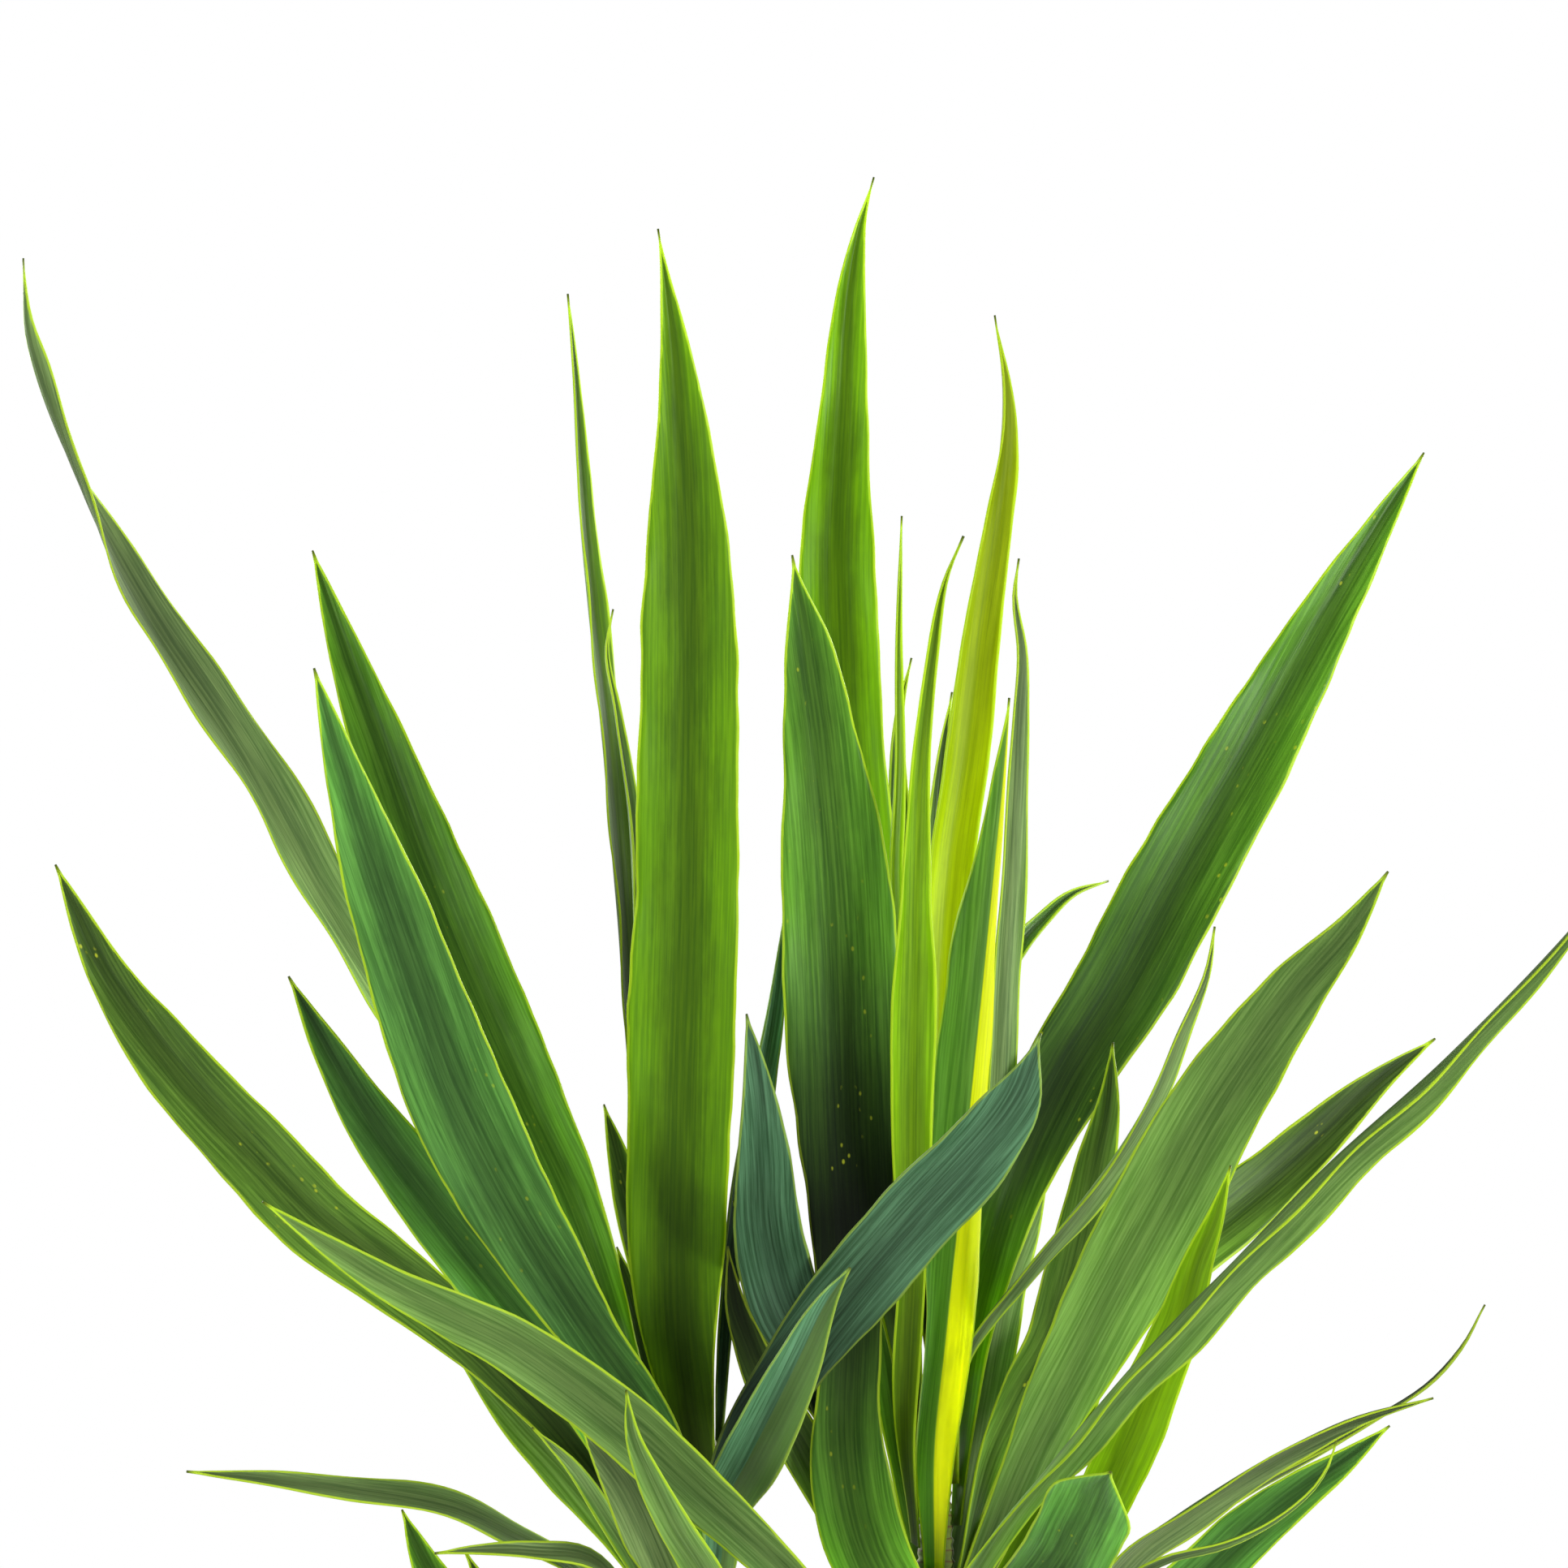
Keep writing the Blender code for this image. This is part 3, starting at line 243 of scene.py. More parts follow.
# %% The leaves
LEAVES = (
    Leaf("leaf_left_01", 50, 35, 14, turn=30, fold=20, route=((5, 21, 79), (17, 47, 149), (24, 65, 189),
         (29, 85, 234))),
    Leaf("leaf_left_02", 46, 95, 18, turn=20, fold=35, route=((1, 18, 63), (-4, 52, 203), (-8, 82, 355))),
    Leaf("leaf_left_03", 38, 200, 14, turn=60, fold=30, route=((-12, 15, 92), (-20, 37, 202),
         (-24, 51, 282), (-31, 63, 332), (-35, 69, 357), (-32, 73, 376))),
    Leaf("leaf_left_04", 34, 150, 23, turn=64, fold=20, route=((-19, 32, 115), (-28, 66, 235),
         (-36, 96, 326), (-44, 114, 397), (-48, 122, 448), (-50, 128, 484), (-53, 134, 519))),
    Leaf("leaf_left_05", 32, 262, 47,
         outline=[0.3, 0.55, 0.85, 0.96, 1, 0.97, 0.95, 0.92, 0.83, 0.57, 0.27, 0], route=((-10, -15, 79),
         (-9, -27, 169), (-6, -41, 268), (-5, -53, 368), (-6, -61, 427), (-10, -67, 486), (-14, -70, 516),
         (-18, -73, 543))),
    Leaf("leaf_left_06", 26, 165, 40, fold=12, route=((-7, 6, 20), (-21, 12, 48), (-46, 28, 123),
         (-69, 44, 173), (-94, 58, 228), (-117, 72, 284), (-135, 84, 334), (-150, 94, 375),
         (-163, 104, 414))),
    Leaf("leaf_left_07", 30, 104, 22, fold=15, turn=20, route=((-14, 45, 68), (-31, 77, 128),
         (-42, 95, 168))),
    Leaf("leaf_left_08", 20, 300, 37, fold=10, outline=[0.4, 0.5, 0.68, 0.86, 0.97, 1, 0.93, 0.68, 0],
         route=((9, -30, 31), (25, -54, 57), (55, -92, 98), (84, -124, 133), (115, -156, 168),
         (129, -174, 188), (138, -192, 213))),
    Leaf("leaf_left_09", 12, 214, 34, fold=20,
         turn=[40, 45, 50, 52, 52, 50, 50, 50, 48, 48, 55, 95, 130, 120],
         outline=[0.4, 0.5, 0.62, 0.72, 0.82, 0.9, 0.97, 1, 0.97, 0.9, 0.75, 0.5, 0.36, 0], route=(
         (-9, -11, 31), (-23, -12, 73), (-49, -4, 118), (-104, 20, 193), (-156, 42, 273), (-193, 58, 338),
         (-237, 70, 404), (-264, 77, 456), (-286, 82, 520), (-289, 84, 555))),
    Leaf("leaf_left_10", 4, 250, 44, fold=12, route=((-8, -12, 33), (-18, -23, 61), (-44, -42, 98),
         (-75, -68, 148), (-100, -88, 198), (-118, -104, 247), (-135, -120, 297), (-149, -132, 341),
         (-161, -140, 383))),
    Leaf("leaf_left_11", 6, 150, 20, fold=15, turn=20, route=((-9, 35, 53), (-20, 65, 97), (-30, 85, 130))),
    Leaf("leaf_left_12", 0, 95, 36, fold=12, route=((-7, 59, 78), (-10, 129, 177), (-10, 189, 289),
         (-10, 239, 381))),
    Leaf("leaf_left_13", -8, 200, 34, fold=12, route=((-15, -16, 29), (-32, -25, 64), (-51, -34, 97),
         (-74, -46, 127), (-98, -58, 157), (-135, -76, 207), (-151, -82, 234), (-167, -88, 264))),
    Leaf("leaf_left_14", -14, 285, 32, fold=35, route=((5, -35, 20), (7, -51, 44), (17, -71, 65),
         (27, -87, 85), (39, -105, 110), (50, -117, 133), (60, -125, 147))),
    Leaf("leaf_left_15", -22, 180, 36, fold=12, widest=0.6, route=((-23, 0, 42), (-48, 6, 77),
         (-88, 14, 119), (-119, 20, 143), (-156, 28, 171), (-183, 34, 199), (-215, 42, 233),
         (-247, 50, 276), (-271, 56, 325))),
    Leaf("leaf_left_16", -26, 235, 24, fold=10, route=((-15, -34, 38), (-27, -48, 64), (-46, -62, 90))),
    Leaf("leaf_left_17", -38, 205, 10, fold=10, turn=20, route=((-18, -21, 39), (-33, -29, 64),
         (-46, -33, 83), (-63, -39, 100))),
    Leaf("leaf_left_18", -34, 150, 24, fold=10, route=((-27, 12, 48), (-48, 20, 75), (-65, 26, 93),
         (-85, 32, 116), (-105, 36, 138))),
    Leaf("leaf_left_19", -48, 265, 20, fold=10, route=((5, -47, 19), (4, -87, 46), (-10, -117, 71),
         (-20, -135, 92), (-28, -147, 111), (-31, -155, 130))),
    Leaf("leaf_left_20", -54, 215, 22, fold=10, turn=72, route=((-23, -28, 32), (-46, -40, 55),
         (-70, -48, 69), (-98, -56, 82), (-142, -68, 90), (-177, -78, 95), (-210, -88, 99))),
    Leaf("leaf_left_21", -66, 235, 14, fold=10, turn=75, route=((-19, -42, 44), (-39, -56, 71),
         (-66, -68, 76), (-90, -76, 77), (-107, -82, 76))),
    Leaf("leaf_left_22", -78, 175, 24, fold=10, route=((-50, 3, 16), (-87, 3, 48), (-106, 3, 78),
         (-117, 1, 103))),
    Leaf("leaf_left_23", -84, 125, 30, fold=12, turn=-30, route=((-18, 32, 24), (-40, 98, 55),
         (-62, 158, 58), (-83, 208, 32), (-96, 238, -15))),
    Leaf("leaf_left_24", -92, 215, 16, fold=10, route=((-27, -21, 24), (-57, -37, 54), (-81, -45, 84),
         (-91, -47, 102))),
    Leaf("leaf_right_01", 46, 200, 10, turn=50, fold=30, route=((-5, 3, 74), (-9, 9, 174), (-11, 15, 254),
         (-9, 21, 304), (-9, 25, 354), (-7, 31, 408))),
    Leaf("leaf_right_02", 42, 150, 36, fold=10,
         outline=[0.34, 0.55, 0.75, 0.89, 0.97, 1, 1, 0.97, 0.86, 0.6, 0.35, 0], route=((-7, 16, 57),
         (-17, 34, 137), (-24, 52, 217), (-31, 72, 298), (-34, 88, 359), (-35, 98, 399), (-32, 110, 460),
         (-29, 118, 511), (-25, 124, 540), (-19, 128, 562))),
    Leaf("leaf_right_03", 44, 88, 16, fold=20, route=((0, 14, 35), (-5, 36, 75), (-8, 52, 115),
         (-9, 64, 155), (-13, 78, 245), (-16, 84, 296), (-15, 88, 326), (-10, 91, 349))),
    Leaf("leaf_right_04", 36, 20, 23, fold=30, turn=[0, 0, 0, 0, 0, 0, 0, 0, 0, 10, 55, 70],
         outline=[0.5, 0.7, 0.85, 0.95, 1, 1, 0.97, 0.95, 0.8, 0.62, 0.5, 0], route=((-2, 5, 84),
         (-5, 9, 194), (-1, 13, 264), (6, 17, 314), (12, 21, 364), (19, 25, 414), (22, 27, 445),
         (22, 29, 475), (18, 31, 505))),
    Leaf("leaf_right_05", 30, 78, 16, fold=20, turn=35, route=((6, 15, 29), (14, 25, 79), (23, 31, 139),
         (28, 39, 219), (32, 45, 280), (35, 49, 340), (36, 52, 365), (33, 54, 389), (35, 56, 406))),
    Leaf("leaf_right_06", 10, 104, 18, fold=20, route=((0, 19, 49), (7, 37, 99), (13, 47, 149),
         (12, 48, 209), (4, 56, 290), (6, 60, 340), (10, 64, 368))),
    Leaf("leaf_right_07", 18, 16, 45, fold=12, route=((7, 7, 72), (14, 14, 107), (26, 24, 146),
         (47, 38, 191), (72, 52, 231), (100, 67, 282), (129, 81, 332), (157, 95, 383), (187, 109, 434),
         (206, 117, 465))),
    Leaf("leaf_right_08", 6, 82, 14, fold=20, turn=20, route=((2, 56, 92), (12, 96, 172), (22, 126, 238),
         (35, 152, 259), (46, 174, 271), (60, 196, 283), (77, 220, 289))),
    Leaf("leaf_right_09", 10, 204, 22, fold=30,
         outline=[0.36, 0.46, 0.6, 0.6, 0.8, 0.95, 1, 0.7, 0.5, 0.35, 0.22, 0], route=((-4, -20, 51),
         (-2, -30, 121), (-2, -42, 191), (-1, -48, 241), (0, -52, 290), (2, -56, 340), (7, -60, 385),
         (12, -63, 414), (20, -66, 434))),
    Leaf("leaf_right_10", 0, 266, 34, fold=-40, turn=[-35, -32, -22, -8, 8, 20, 28, 33, 33, 33, 33],
         outline=[0.26, 0.46, 0.66, 0.8, 0.88, 0.95, 1, 0.9, 0.55, 0.28, 0], route=((0, -9, 51),
         (5, -15, 101), (10, -19, 151), (15, -22, 201), (20, -25, 250), (25, -27, 300), (28, -28, 330),
         (32, -29, 375))),
    Leaf("leaf_right_11", 48, 318, 20, fold=20, turn=54, route=((5, -1, 38), (16, -12, 59), (30, -26, 77),
         (53, -37, 105), (76, -45, 137), (88, -49, 158), (98, -53, 183), (109, -57, 208), (113, -60, 229))),
    Leaf("leaf_right_12", -4, 48, 22, fold=10, route=((13, 32, 69), (19, 46, 102), (25, 54, 127),
         (33, 62, 147), (43, 70, 174))),
    Leaf("leaf_right_13", -4, 348, 25, fold=10, route=((13, -4, 49), (27, -6, 79), (41, -10, 104),
         (48, -14, 129), (54, -18, 154), (59, -22, 179), (64, -26, 204), (66, -30, 231))),
    Leaf("leaf_right_14", -6, 110, 34, fold=12, route=((-12, 50, 64), (-24, 120, 163), (-33, 180, 264),
         (-38, 230, 356))),
    Leaf("leaf_right_15", -12, 170, 12, fold=10, route=((-27, 2, 62), (-57, 6, 109), (-69, 10, 142),
         (-77, 14, 170))),
    Leaf("leaf_right_16", -14, 2, 33, fold=15, route=((15, 8, 59), (29, 16, 91), (54, 28, 116),
         (89, 42, 143), (130, 58, 175), (156, 68, 198), (181, 78, 221), (208, 88, 241))),
    Leaf("leaf_right_17", -18, 195, 32, fold=10, route=((-15, -5, 28), (-27, -11, 69), (-37, -11, 103),
         (-53, -19, 129), (-59, -22, 147), (-63, -39, 169), (-64, -63, 195), (-66, -81, 224),
         (-71, -95, 258))),
    Leaf("leaf_right_18", -24, 316, 45, fold=12, route=((11, -20, 25), (33, -40, 76), (58, -64, 126),
         (84, -86, 176), (111, -108, 226), (143, -130, 274), (165, -144, 300), (182, -154, 325))),
    Leaf("leaf_right_19", -30, 255, 50, fold=10,
         outline=[0.5, 0.72, 0.7, 0.54, 0.6, 0.76, 0.9, 0.98, 1, 0.88, 0.64, 0.42, 0], route=(
         (-25, -14, 36), (-35, -18, 81), (-34, -18, 136), (-34, -18, 171), (-36, -20, 211),
         (-39, -24, 290), (-42, -28, 340), (-47, -34, 390), (-53, -42, 430), (-59, -48, 466))),
    Leaf("leaf_right_20", -38, 178, 20, fold=10, route=((-21, -14, 39), (-45, -20, 89), (-61, -34, 117),
         (-70, -42, 139), (-75, -46, 154), (-78, -50, 178))),
    Leaf("leaf_right_21", -42, 285, 36, fold=35, turn=45, route=((8, -44, 32), (24, -76, 62),
         (43, -108, 88), (69, -138, 121), (93, -158, 149), (122, -174, 179), (161, -190, 220),
         (209, -204, 264), (259, -214, 316), (281, -218, 345))),
    Leaf("leaf_right_22", -48, 352, 20, fold=10, route=((21, -12, 51), (35, -22, 81), (46, -32, 104),
         (60, -42, 129))),
    Leaf("leaf_right_23", -54, 325, 26, fold=10, route=((23, -26, 28), (49, -52, 57), (63, -78, 90),
         (74, -100, 116), (83, -116, 140), (93, -132, 165), (100, -146, 190), (107, -156, 209),
         (113, -166, 231))),
    Leaf("leaf_right_24", -60, 235, 29, fold=10, turn=-10, route=((-32, -45, 35), (-60, -73, 64),
         (-92, -93, 94), (-126, -111, 126), (-170, -131, 159), (-199, -143, 174), (-228, -155, 189),
         (-253, -165, 205), (-278, -175, 222))),
    Leaf("leaf_right_25", -66, 300, 40, fold=10, outline=[0.34, 0.42, 0.6, 0.82, 0.96, 1, 0.97, 0.86, 0],
         route=((16, -48, 27), (34, -94, 55), (47, -134, 75), (54, -164, 91), (59, -186, 103),
         (62, -206, 111), (65, -222, 116))),
    Leaf("leaf_right_26", -74, 342, 16, fold=20, turn=[60, 70, 70, 80, 80], route=((45, -37, 56),
         (75, -51, 82), (110, -63, 105), (139, -71, 122), (169, -77, 139), (195, -81, 155),
         (211, -83, 172), (221, -85, 190))),
    Leaf("leaf_right_27", -80, 350, 27, fold=10, route=((45, -13, 29), (85, -25, 63), (105, -31, 81),
         (119, -35, 95), (142, -41, 114), (162, -45, 128), (181, -49, 143))),
    Leaf("leaf_right_28", -86, 315, 24, fold=20, turn=55, route=((38, -51, 49), (72, -77, 94),
         (95, -85, 112), (119, -91, 128), (143, -97, 142), (168, -101, 154), (201, -105, 163))),
    Leaf("leaf_right_29", -92, 65, 30, fold=12, turn=30, route=((16, 36, 23), (41, 96, 57), (64, 151, 69),
         (81, 201, 46), (92, 236, 1))),
    Leaf("leaf_right_30", -100, 300, 17, fold=10, turn=60, route=((35, -60, 50), (64, -96, 93),
         (89, -112, 109), (114, -116, 116), (134, -117, 125), (150, -116, 137), (158, -114, 148),
         (162, -112, 159))),
)
print("leaves described:", len(LEAVES))

# %% [markdown]
# ## The midrib and the frame along it
# A smooth curve is run through the route's points. A frame is carried along it without twisting, and the
# leaf's own turn is added to that: its foot lies flat round the shoot, and the blade eases from there to
# its own turn and fold over the first third.

# %% Ease between two values
def ease(value):
    """From 0 to 1 with a soft start and end, and level outside those."""
    value = max(0.0, min(1.0, value))
    return value * value * (3 - 2 * value)


# %% Outline
def spread(values, share):
    """The value at a share of the leaf's length, on a smooth curve through values spread along it."""
    if len(values) == 1:
        return values[0]
    last = len(values) - 1
    index = min(int(share * last), last - 1)
    t = share * last - index
    before, start, end, after = (values[min(max(index + step, 0), last)] for step in (-1, 0, 1, 2))
    return start + t * ((end - before) + t * ((2 * before - 5 * start + 4 * end - after)
                                              + t * (3 * start - 3 * end + after - before))) / 2


def width_share(leaf, share):
    """The blade's width at a share of its length: clasping base, waist, widest part, pointed tip."""
    if leaf.outline:
        return max(0.0, spread(leaf.outline, share))
    if share < leaf.waist_at:
        return leaf.base + (leaf.waist - leaf.base) * ease(share / leaf.waist_at)
    if share < leaf.widest:
        rise = ease((share - leaf.waist_at) / (leaf.widest - leaf.waist_at))
        return leaf.waist + (1 - leaf.waist) * rise
    return 1 - ((share - leaf.widest) / (1 - leaf.widest)) ** leaf.tip


# %% Midrib
def midline(leaf):
    """The leaf's route in the plant's frame, from its foot just off the shoot's surface."""
    reach = shoot_radius(leaf.height) + FOOT_GAP
    foot = Vector((
        SHOOT_X[leaf.shoot] + reach * math.cos(leaf.heading),
        reach * math.sin(leaf.heading),
        CROWN_HEIGHT + leaf.height,
    ))
    return [foot] + [foot + point for point in leaf.route]


def smooth_route(points):
    """A function that gives (point, direction) at a share of the curve, and the route's length."""
    marks = [0.0]
    for start, end in zip(points, points[1:]):
        marks.append(marks[-1] + (end - start).length)
    slopes = []
    for index in range(len(points)):
        low = max(index - 1, 0)
        high = min(index + 1, len(points) - 1)
        slopes.append((points[high] - points[low]) / (marks[high] - marks[low]))

    def at(share):
        place = share * marks[-1]
        index = max(i for i in range(len(points) - 1) if marks[i] <= place or i == 0)
        span = marks[index + 1] - marks[index]
        t = (place - marks[index]) / span
        start, end = points[index], points[index + 1]
        run_in, run_out = slopes[index] * span, slopes[index + 1] * span
        point = (start * (2 * t ** 3 - 3 * t ** 2 + 1) + run_in * (t ** 3 - 2 * t ** 2 + t)
                 + end * (3 * t ** 2 - 2 * t ** 3) + run_out * (t ** 3 - t ** 2))
        direction = (start * (6 * t ** 2 - 6 * t) + run_in * (3 * t ** 2 - 4 * t + 1)
                     + end * (6 * t - 6 * t ** 2) + run_out * (3 * t ** 2 - 2 * t))
        return point, direction.normalized()

    return at, marks[-1]


# %% Frame along the midrib
def stations(leaf, count):
    """(point, across, facing, half width, fold) at count + 1 places along the leaf."""
    at, _ = smooth_route(midline(leaf))
    found = []
    across = None
    for index in range(count + 1):
        share = index / count
        point, direction = at(share)
        if across is None:
            across = Vector((0.0, 1.0, 0.0)).cross(direction).normalized()
            facing = across.cross(direction)
            clasp = Vector((-math.sin(leaf.heading), math.cos(leaf.heading), 0.0))
            clasp_turn = math.atan2(-clasp.dot(facing), clasp.dot(across))
            clasp_turn += round((spread(leaf.turns, 0.0) - clasp_turn) / math.pi) * math.pi
        else:
            across = (across - direction * across.dot(direction)).normalized()
        facing = across.cross(direction)
        settle = ease(share / BASE_TURN_SHARE)
        turn = clasp_turn + (spread(leaf.turns, share) - clasp_turn) * settle
        turned_across = across * math.cos(turn) - facing * math.sin(turn)
        turned_facing = facing * math.cos(turn) + across * math.sin(turn)
        half = leaf.width * width_share(leaf, share) / 2
        found.append((point, turned_across, turned_facing, half, leaf.fold * settle))
    return found


# %% [markdown]
# ## The fine blade
# Each blade starts as a flat grid, which brings its UV map with it. Its points are then laid across the
# midrib. What makes it look grown rather than cut from card is small: a rounded gutter instead of a
# straight fold, edges that wave by a millimetre, shallow pleats that run its whole length, and a hard
# point that narrows at the very end. Distances in millimetres are kept on the points, so the veins and
# the margin can be drawn at their real size on every leaf.

# %% Sizes of the blade
ACROSS_STEPS = 14
ALONG_STEP = 0.0055
FEWEST_ALONG_STEPS = 20
BLADE_THICKNESS = 0.0008
SPINE_LENGTH = 0.009
SPINE_NARROWING = 0.25
END_WIDTH = 0.0004
ROUND_GUTTER = 0.65
PLEAT_HEIGHT = 0.00025
PLEATS = 5

# A blade's edges come free over the first share of its length, and settle again over the last share.
FIRST_SHARE = 0.3
LAST_SHARE = 0.08
EDGE_WAVE = 0.0013
EDGE_WAVE_LENGTH = 0.075
EDGE_WAVES_FULLY_AT = 0.016
WAVE_SIDE_LAG = 0.9
WAVE_LEAF_LAG = 1.7
SLOW_WAVE = 0.43
EDGE_WOBBLE = 0.07
WOBBLE_LENGTHS = (0.045, 0.017)
WOBBLE_LEAF_SEED = 3.7
WOBBLE_SIDE_SEED = 19.0
GOLDEN_SHARE = 0.618
print("blades are", BLADE_THICKNESS * MM_IN_M, "mm thick")

# %% Finish and painted shading of each leaf
# The finish that a blade wears, then how much of its full colour it has, spread evenly from its foot to its
# point. That amount is painted shading: below 1 it is painted shade where other leaves shade the blade, and
# above 1 it is painted light where the blade should look brighter. Leaves that start deep in the crown have
# painted shade there, and some are darker or brighter further up. A leaf that isn't listed has the plain look.
DARKEST_PAINTED_SHADE = 0.05
PLAIN_LOOK = ("mid", 0.7, 1, 1, 1)
LOOKS = {
    "leaf_left_01": ("blue", 0.4, 0.4, 0.3, 1.5, 1.5), "leaf_left_02": ("dark", 0.2, 0.5, 1, 1, 1),
    "leaf_left_03": ("dark", 0.3, 0.6, 1.2, 1.3, 1), "leaf_left_04": ("sunlit", 0.2, 0.25, 0.35, 0.75, 0.7),
    "leaf_left_05": ("sunlit", 0.3, 1.05, 1.05, 0.9, 1.05),
    "leaf_left_06": ("mid", 0.6, 1.2, 1.15, 0.95, 1.05), "leaf_left_07": ("dark", 0.2, 0.3, 0.6, 0.9, 1),
    "leaf_left_08": ("blue", 0.5, 0.15, 0.85, 1.15, 1.05), "leaf_left_09": ("grey", 1, 2.2, 1.8, 0.85, 1.4),
    "leaf_left_10": ("cool", 1.6, 0.9, 1.1, 1.05, 1.5), "leaf_left_11": ("dark", 0.2, 0.3, 0.6, 0.9, 1),
    "leaf_left_13": ("cool", 1.2, 2, 1.5, 1, 0.8), "leaf_left_14": ("turned", 1.5, 1.7, 1.4, 1.5, 1.4),
    "leaf_left_15": ("dark", 0.7, 0.7, 1.25, 1.05, 0.8), "leaf_left_16": ("grey", 1.4, 1.5, 1.4, 1.05, 0.8),
    "leaf_left_17": ("grey", 1.5, 2, 2.4, 2.3, 1.2), "leaf_left_18": ("pale", 0.9, 1.1, 1.1, 1, 0.6),
    "leaf_left_19": ("pale", 1, 1.2, 1.3, 1.3, 1.2), "leaf_left_20": ("grey", 1.4, 1.4, 1.3, 1.1, 0.8),
    "leaf_left_21": ("grey", 1.6, 1.4, 1.1, 1, 1.1), "leaf_left_24": ("dark", 0.7, 1, 1, 1),
    "leaf_right_01": ("fresh", 0.3, 0.8, 1.3, 0.9, 0.9),
    "leaf_right_02": ("sunlit", 0.4, 0.7, 1.15, 1.2, 1.15), "leaf_right_03": ("dark", 0.15, 0.4, 0.8, 1, 1),
    "leaf_right_04": ("lime", 1, 1, 1, 0.7, 0.5), "leaf_right_05": ("grey", 0.8, 1.2, 1.5, 1.2, 0.85),
    "leaf_right_06": ("dark", 0.2, 0.3, 0.7, 1.1, 0.8),
    "leaf_right_07": ("mid", 1, 1.6, 0.45, 0.65, 0.95, 1.05, 1.05),
    "leaf_right_08": ("mid", 0.8, 1, 1, 1.1, 0.7), "leaf_right_09": ("fresh", 0.6, 0.75, 1.25, 1, 0.5),
    "leaf_right_10": ("halved", 1.6, 1.6, 1.3, 1.05, 1), "leaf_right_11": ("grey", 1.1, 1.5, 1.6, 1.5, 0.6),
    "leaf_right_12": ("grey", 0.8, 1.1, 1.5, 1.6, 1.6), "leaf_right_13": ("dark", 1.5, 2, 1.2, 1.4, 1.3),
    "leaf_right_15": ("dark", 0.1, 0.3, 0.5, 0.8, 1), "leaf_right_16": ("dark", 0.8, 1.3, 2, 0.8, 0.7),
    "leaf_right_17": ("blue", 0.05, 0.05, 0.6, 1.1, 0.9),
    "leaf_right_18": ("pale", 0.4, 1.15, 1.25, 0.78, 0.6),
    "leaf_right_19": ("mid", 2.2, 1.3, 0.1, 0.3, 1.2, 1.05, 1),
    "leaf_right_20": ("dark", 0.8, 1.2, 1.1, 0.35, 0.15),
    "leaf_right_21": ("pale", 1.1, 1.3, 0.9, 0.75, 0.45), "leaf_right_22": ("sunlit", 0.7, 1, 1, 1),
    "leaf_right_23": ("fresh", 1, 1, 1.1, 1, 1.1), "leaf_right_24": ("pale", 0.9, 0.85, 0.8, 0.95, 0.9),
    "leaf_right_25": ("cool", 0.7, 0.8, 1, 1.6, 1.6), "leaf_right_26": ("grey", 1, 1, 0.8, 0.55, 0.4),
    "leaf_right_27": ("cool", 1.2, 1.2, 1.2, 1.05, 0.9), "leaf_right_28": ("grey", 0.3, 0.3, 1.3, 1, 0.5),
    "leaf_right_30": ("pale", 0.5, 0.5, 0.4, 0.8, 0.7),
}


def look(leaf):
    """The name of a leaf's finish, and its painted shading from foot to point."""
    finish, *painted_shading_along = LOOKS.get(leaf.name, PLAIN_LOOK)
    return finish, painted_shading_along


print("leaves with a look of their own:", len(LOOKS))

# %% Uneven outline
def wobble(order, side, run):
    """A slow change in how wide one half of a blade is."""
    seed = order * WOBBLE_LEAF_SEED + (WOBBLE_SIDE_SEED if side > 0 else 0.0)
    long, short = (run / length for length in WOBBLE_LENGTHS)
    return EDGE_WOBBLE * (noise.noise((long, seed, 0.0)) + 0.5 * noise.noise((short, seed, 5.0)))


def edge_wave(order, side, run):
    """How far up or down an edge waves, where 1 is EDGE_WAVE."""
    phase = run / EDGE_WAVE_LENGTH * math.tau + order * WAVE_LEAF_LAG
    return math.sin(phase + (WAVE_SIDE_LAG if side > 0 else 0.0)) + 0.5 * math.sin(phase * SLOW_WAVE + order)


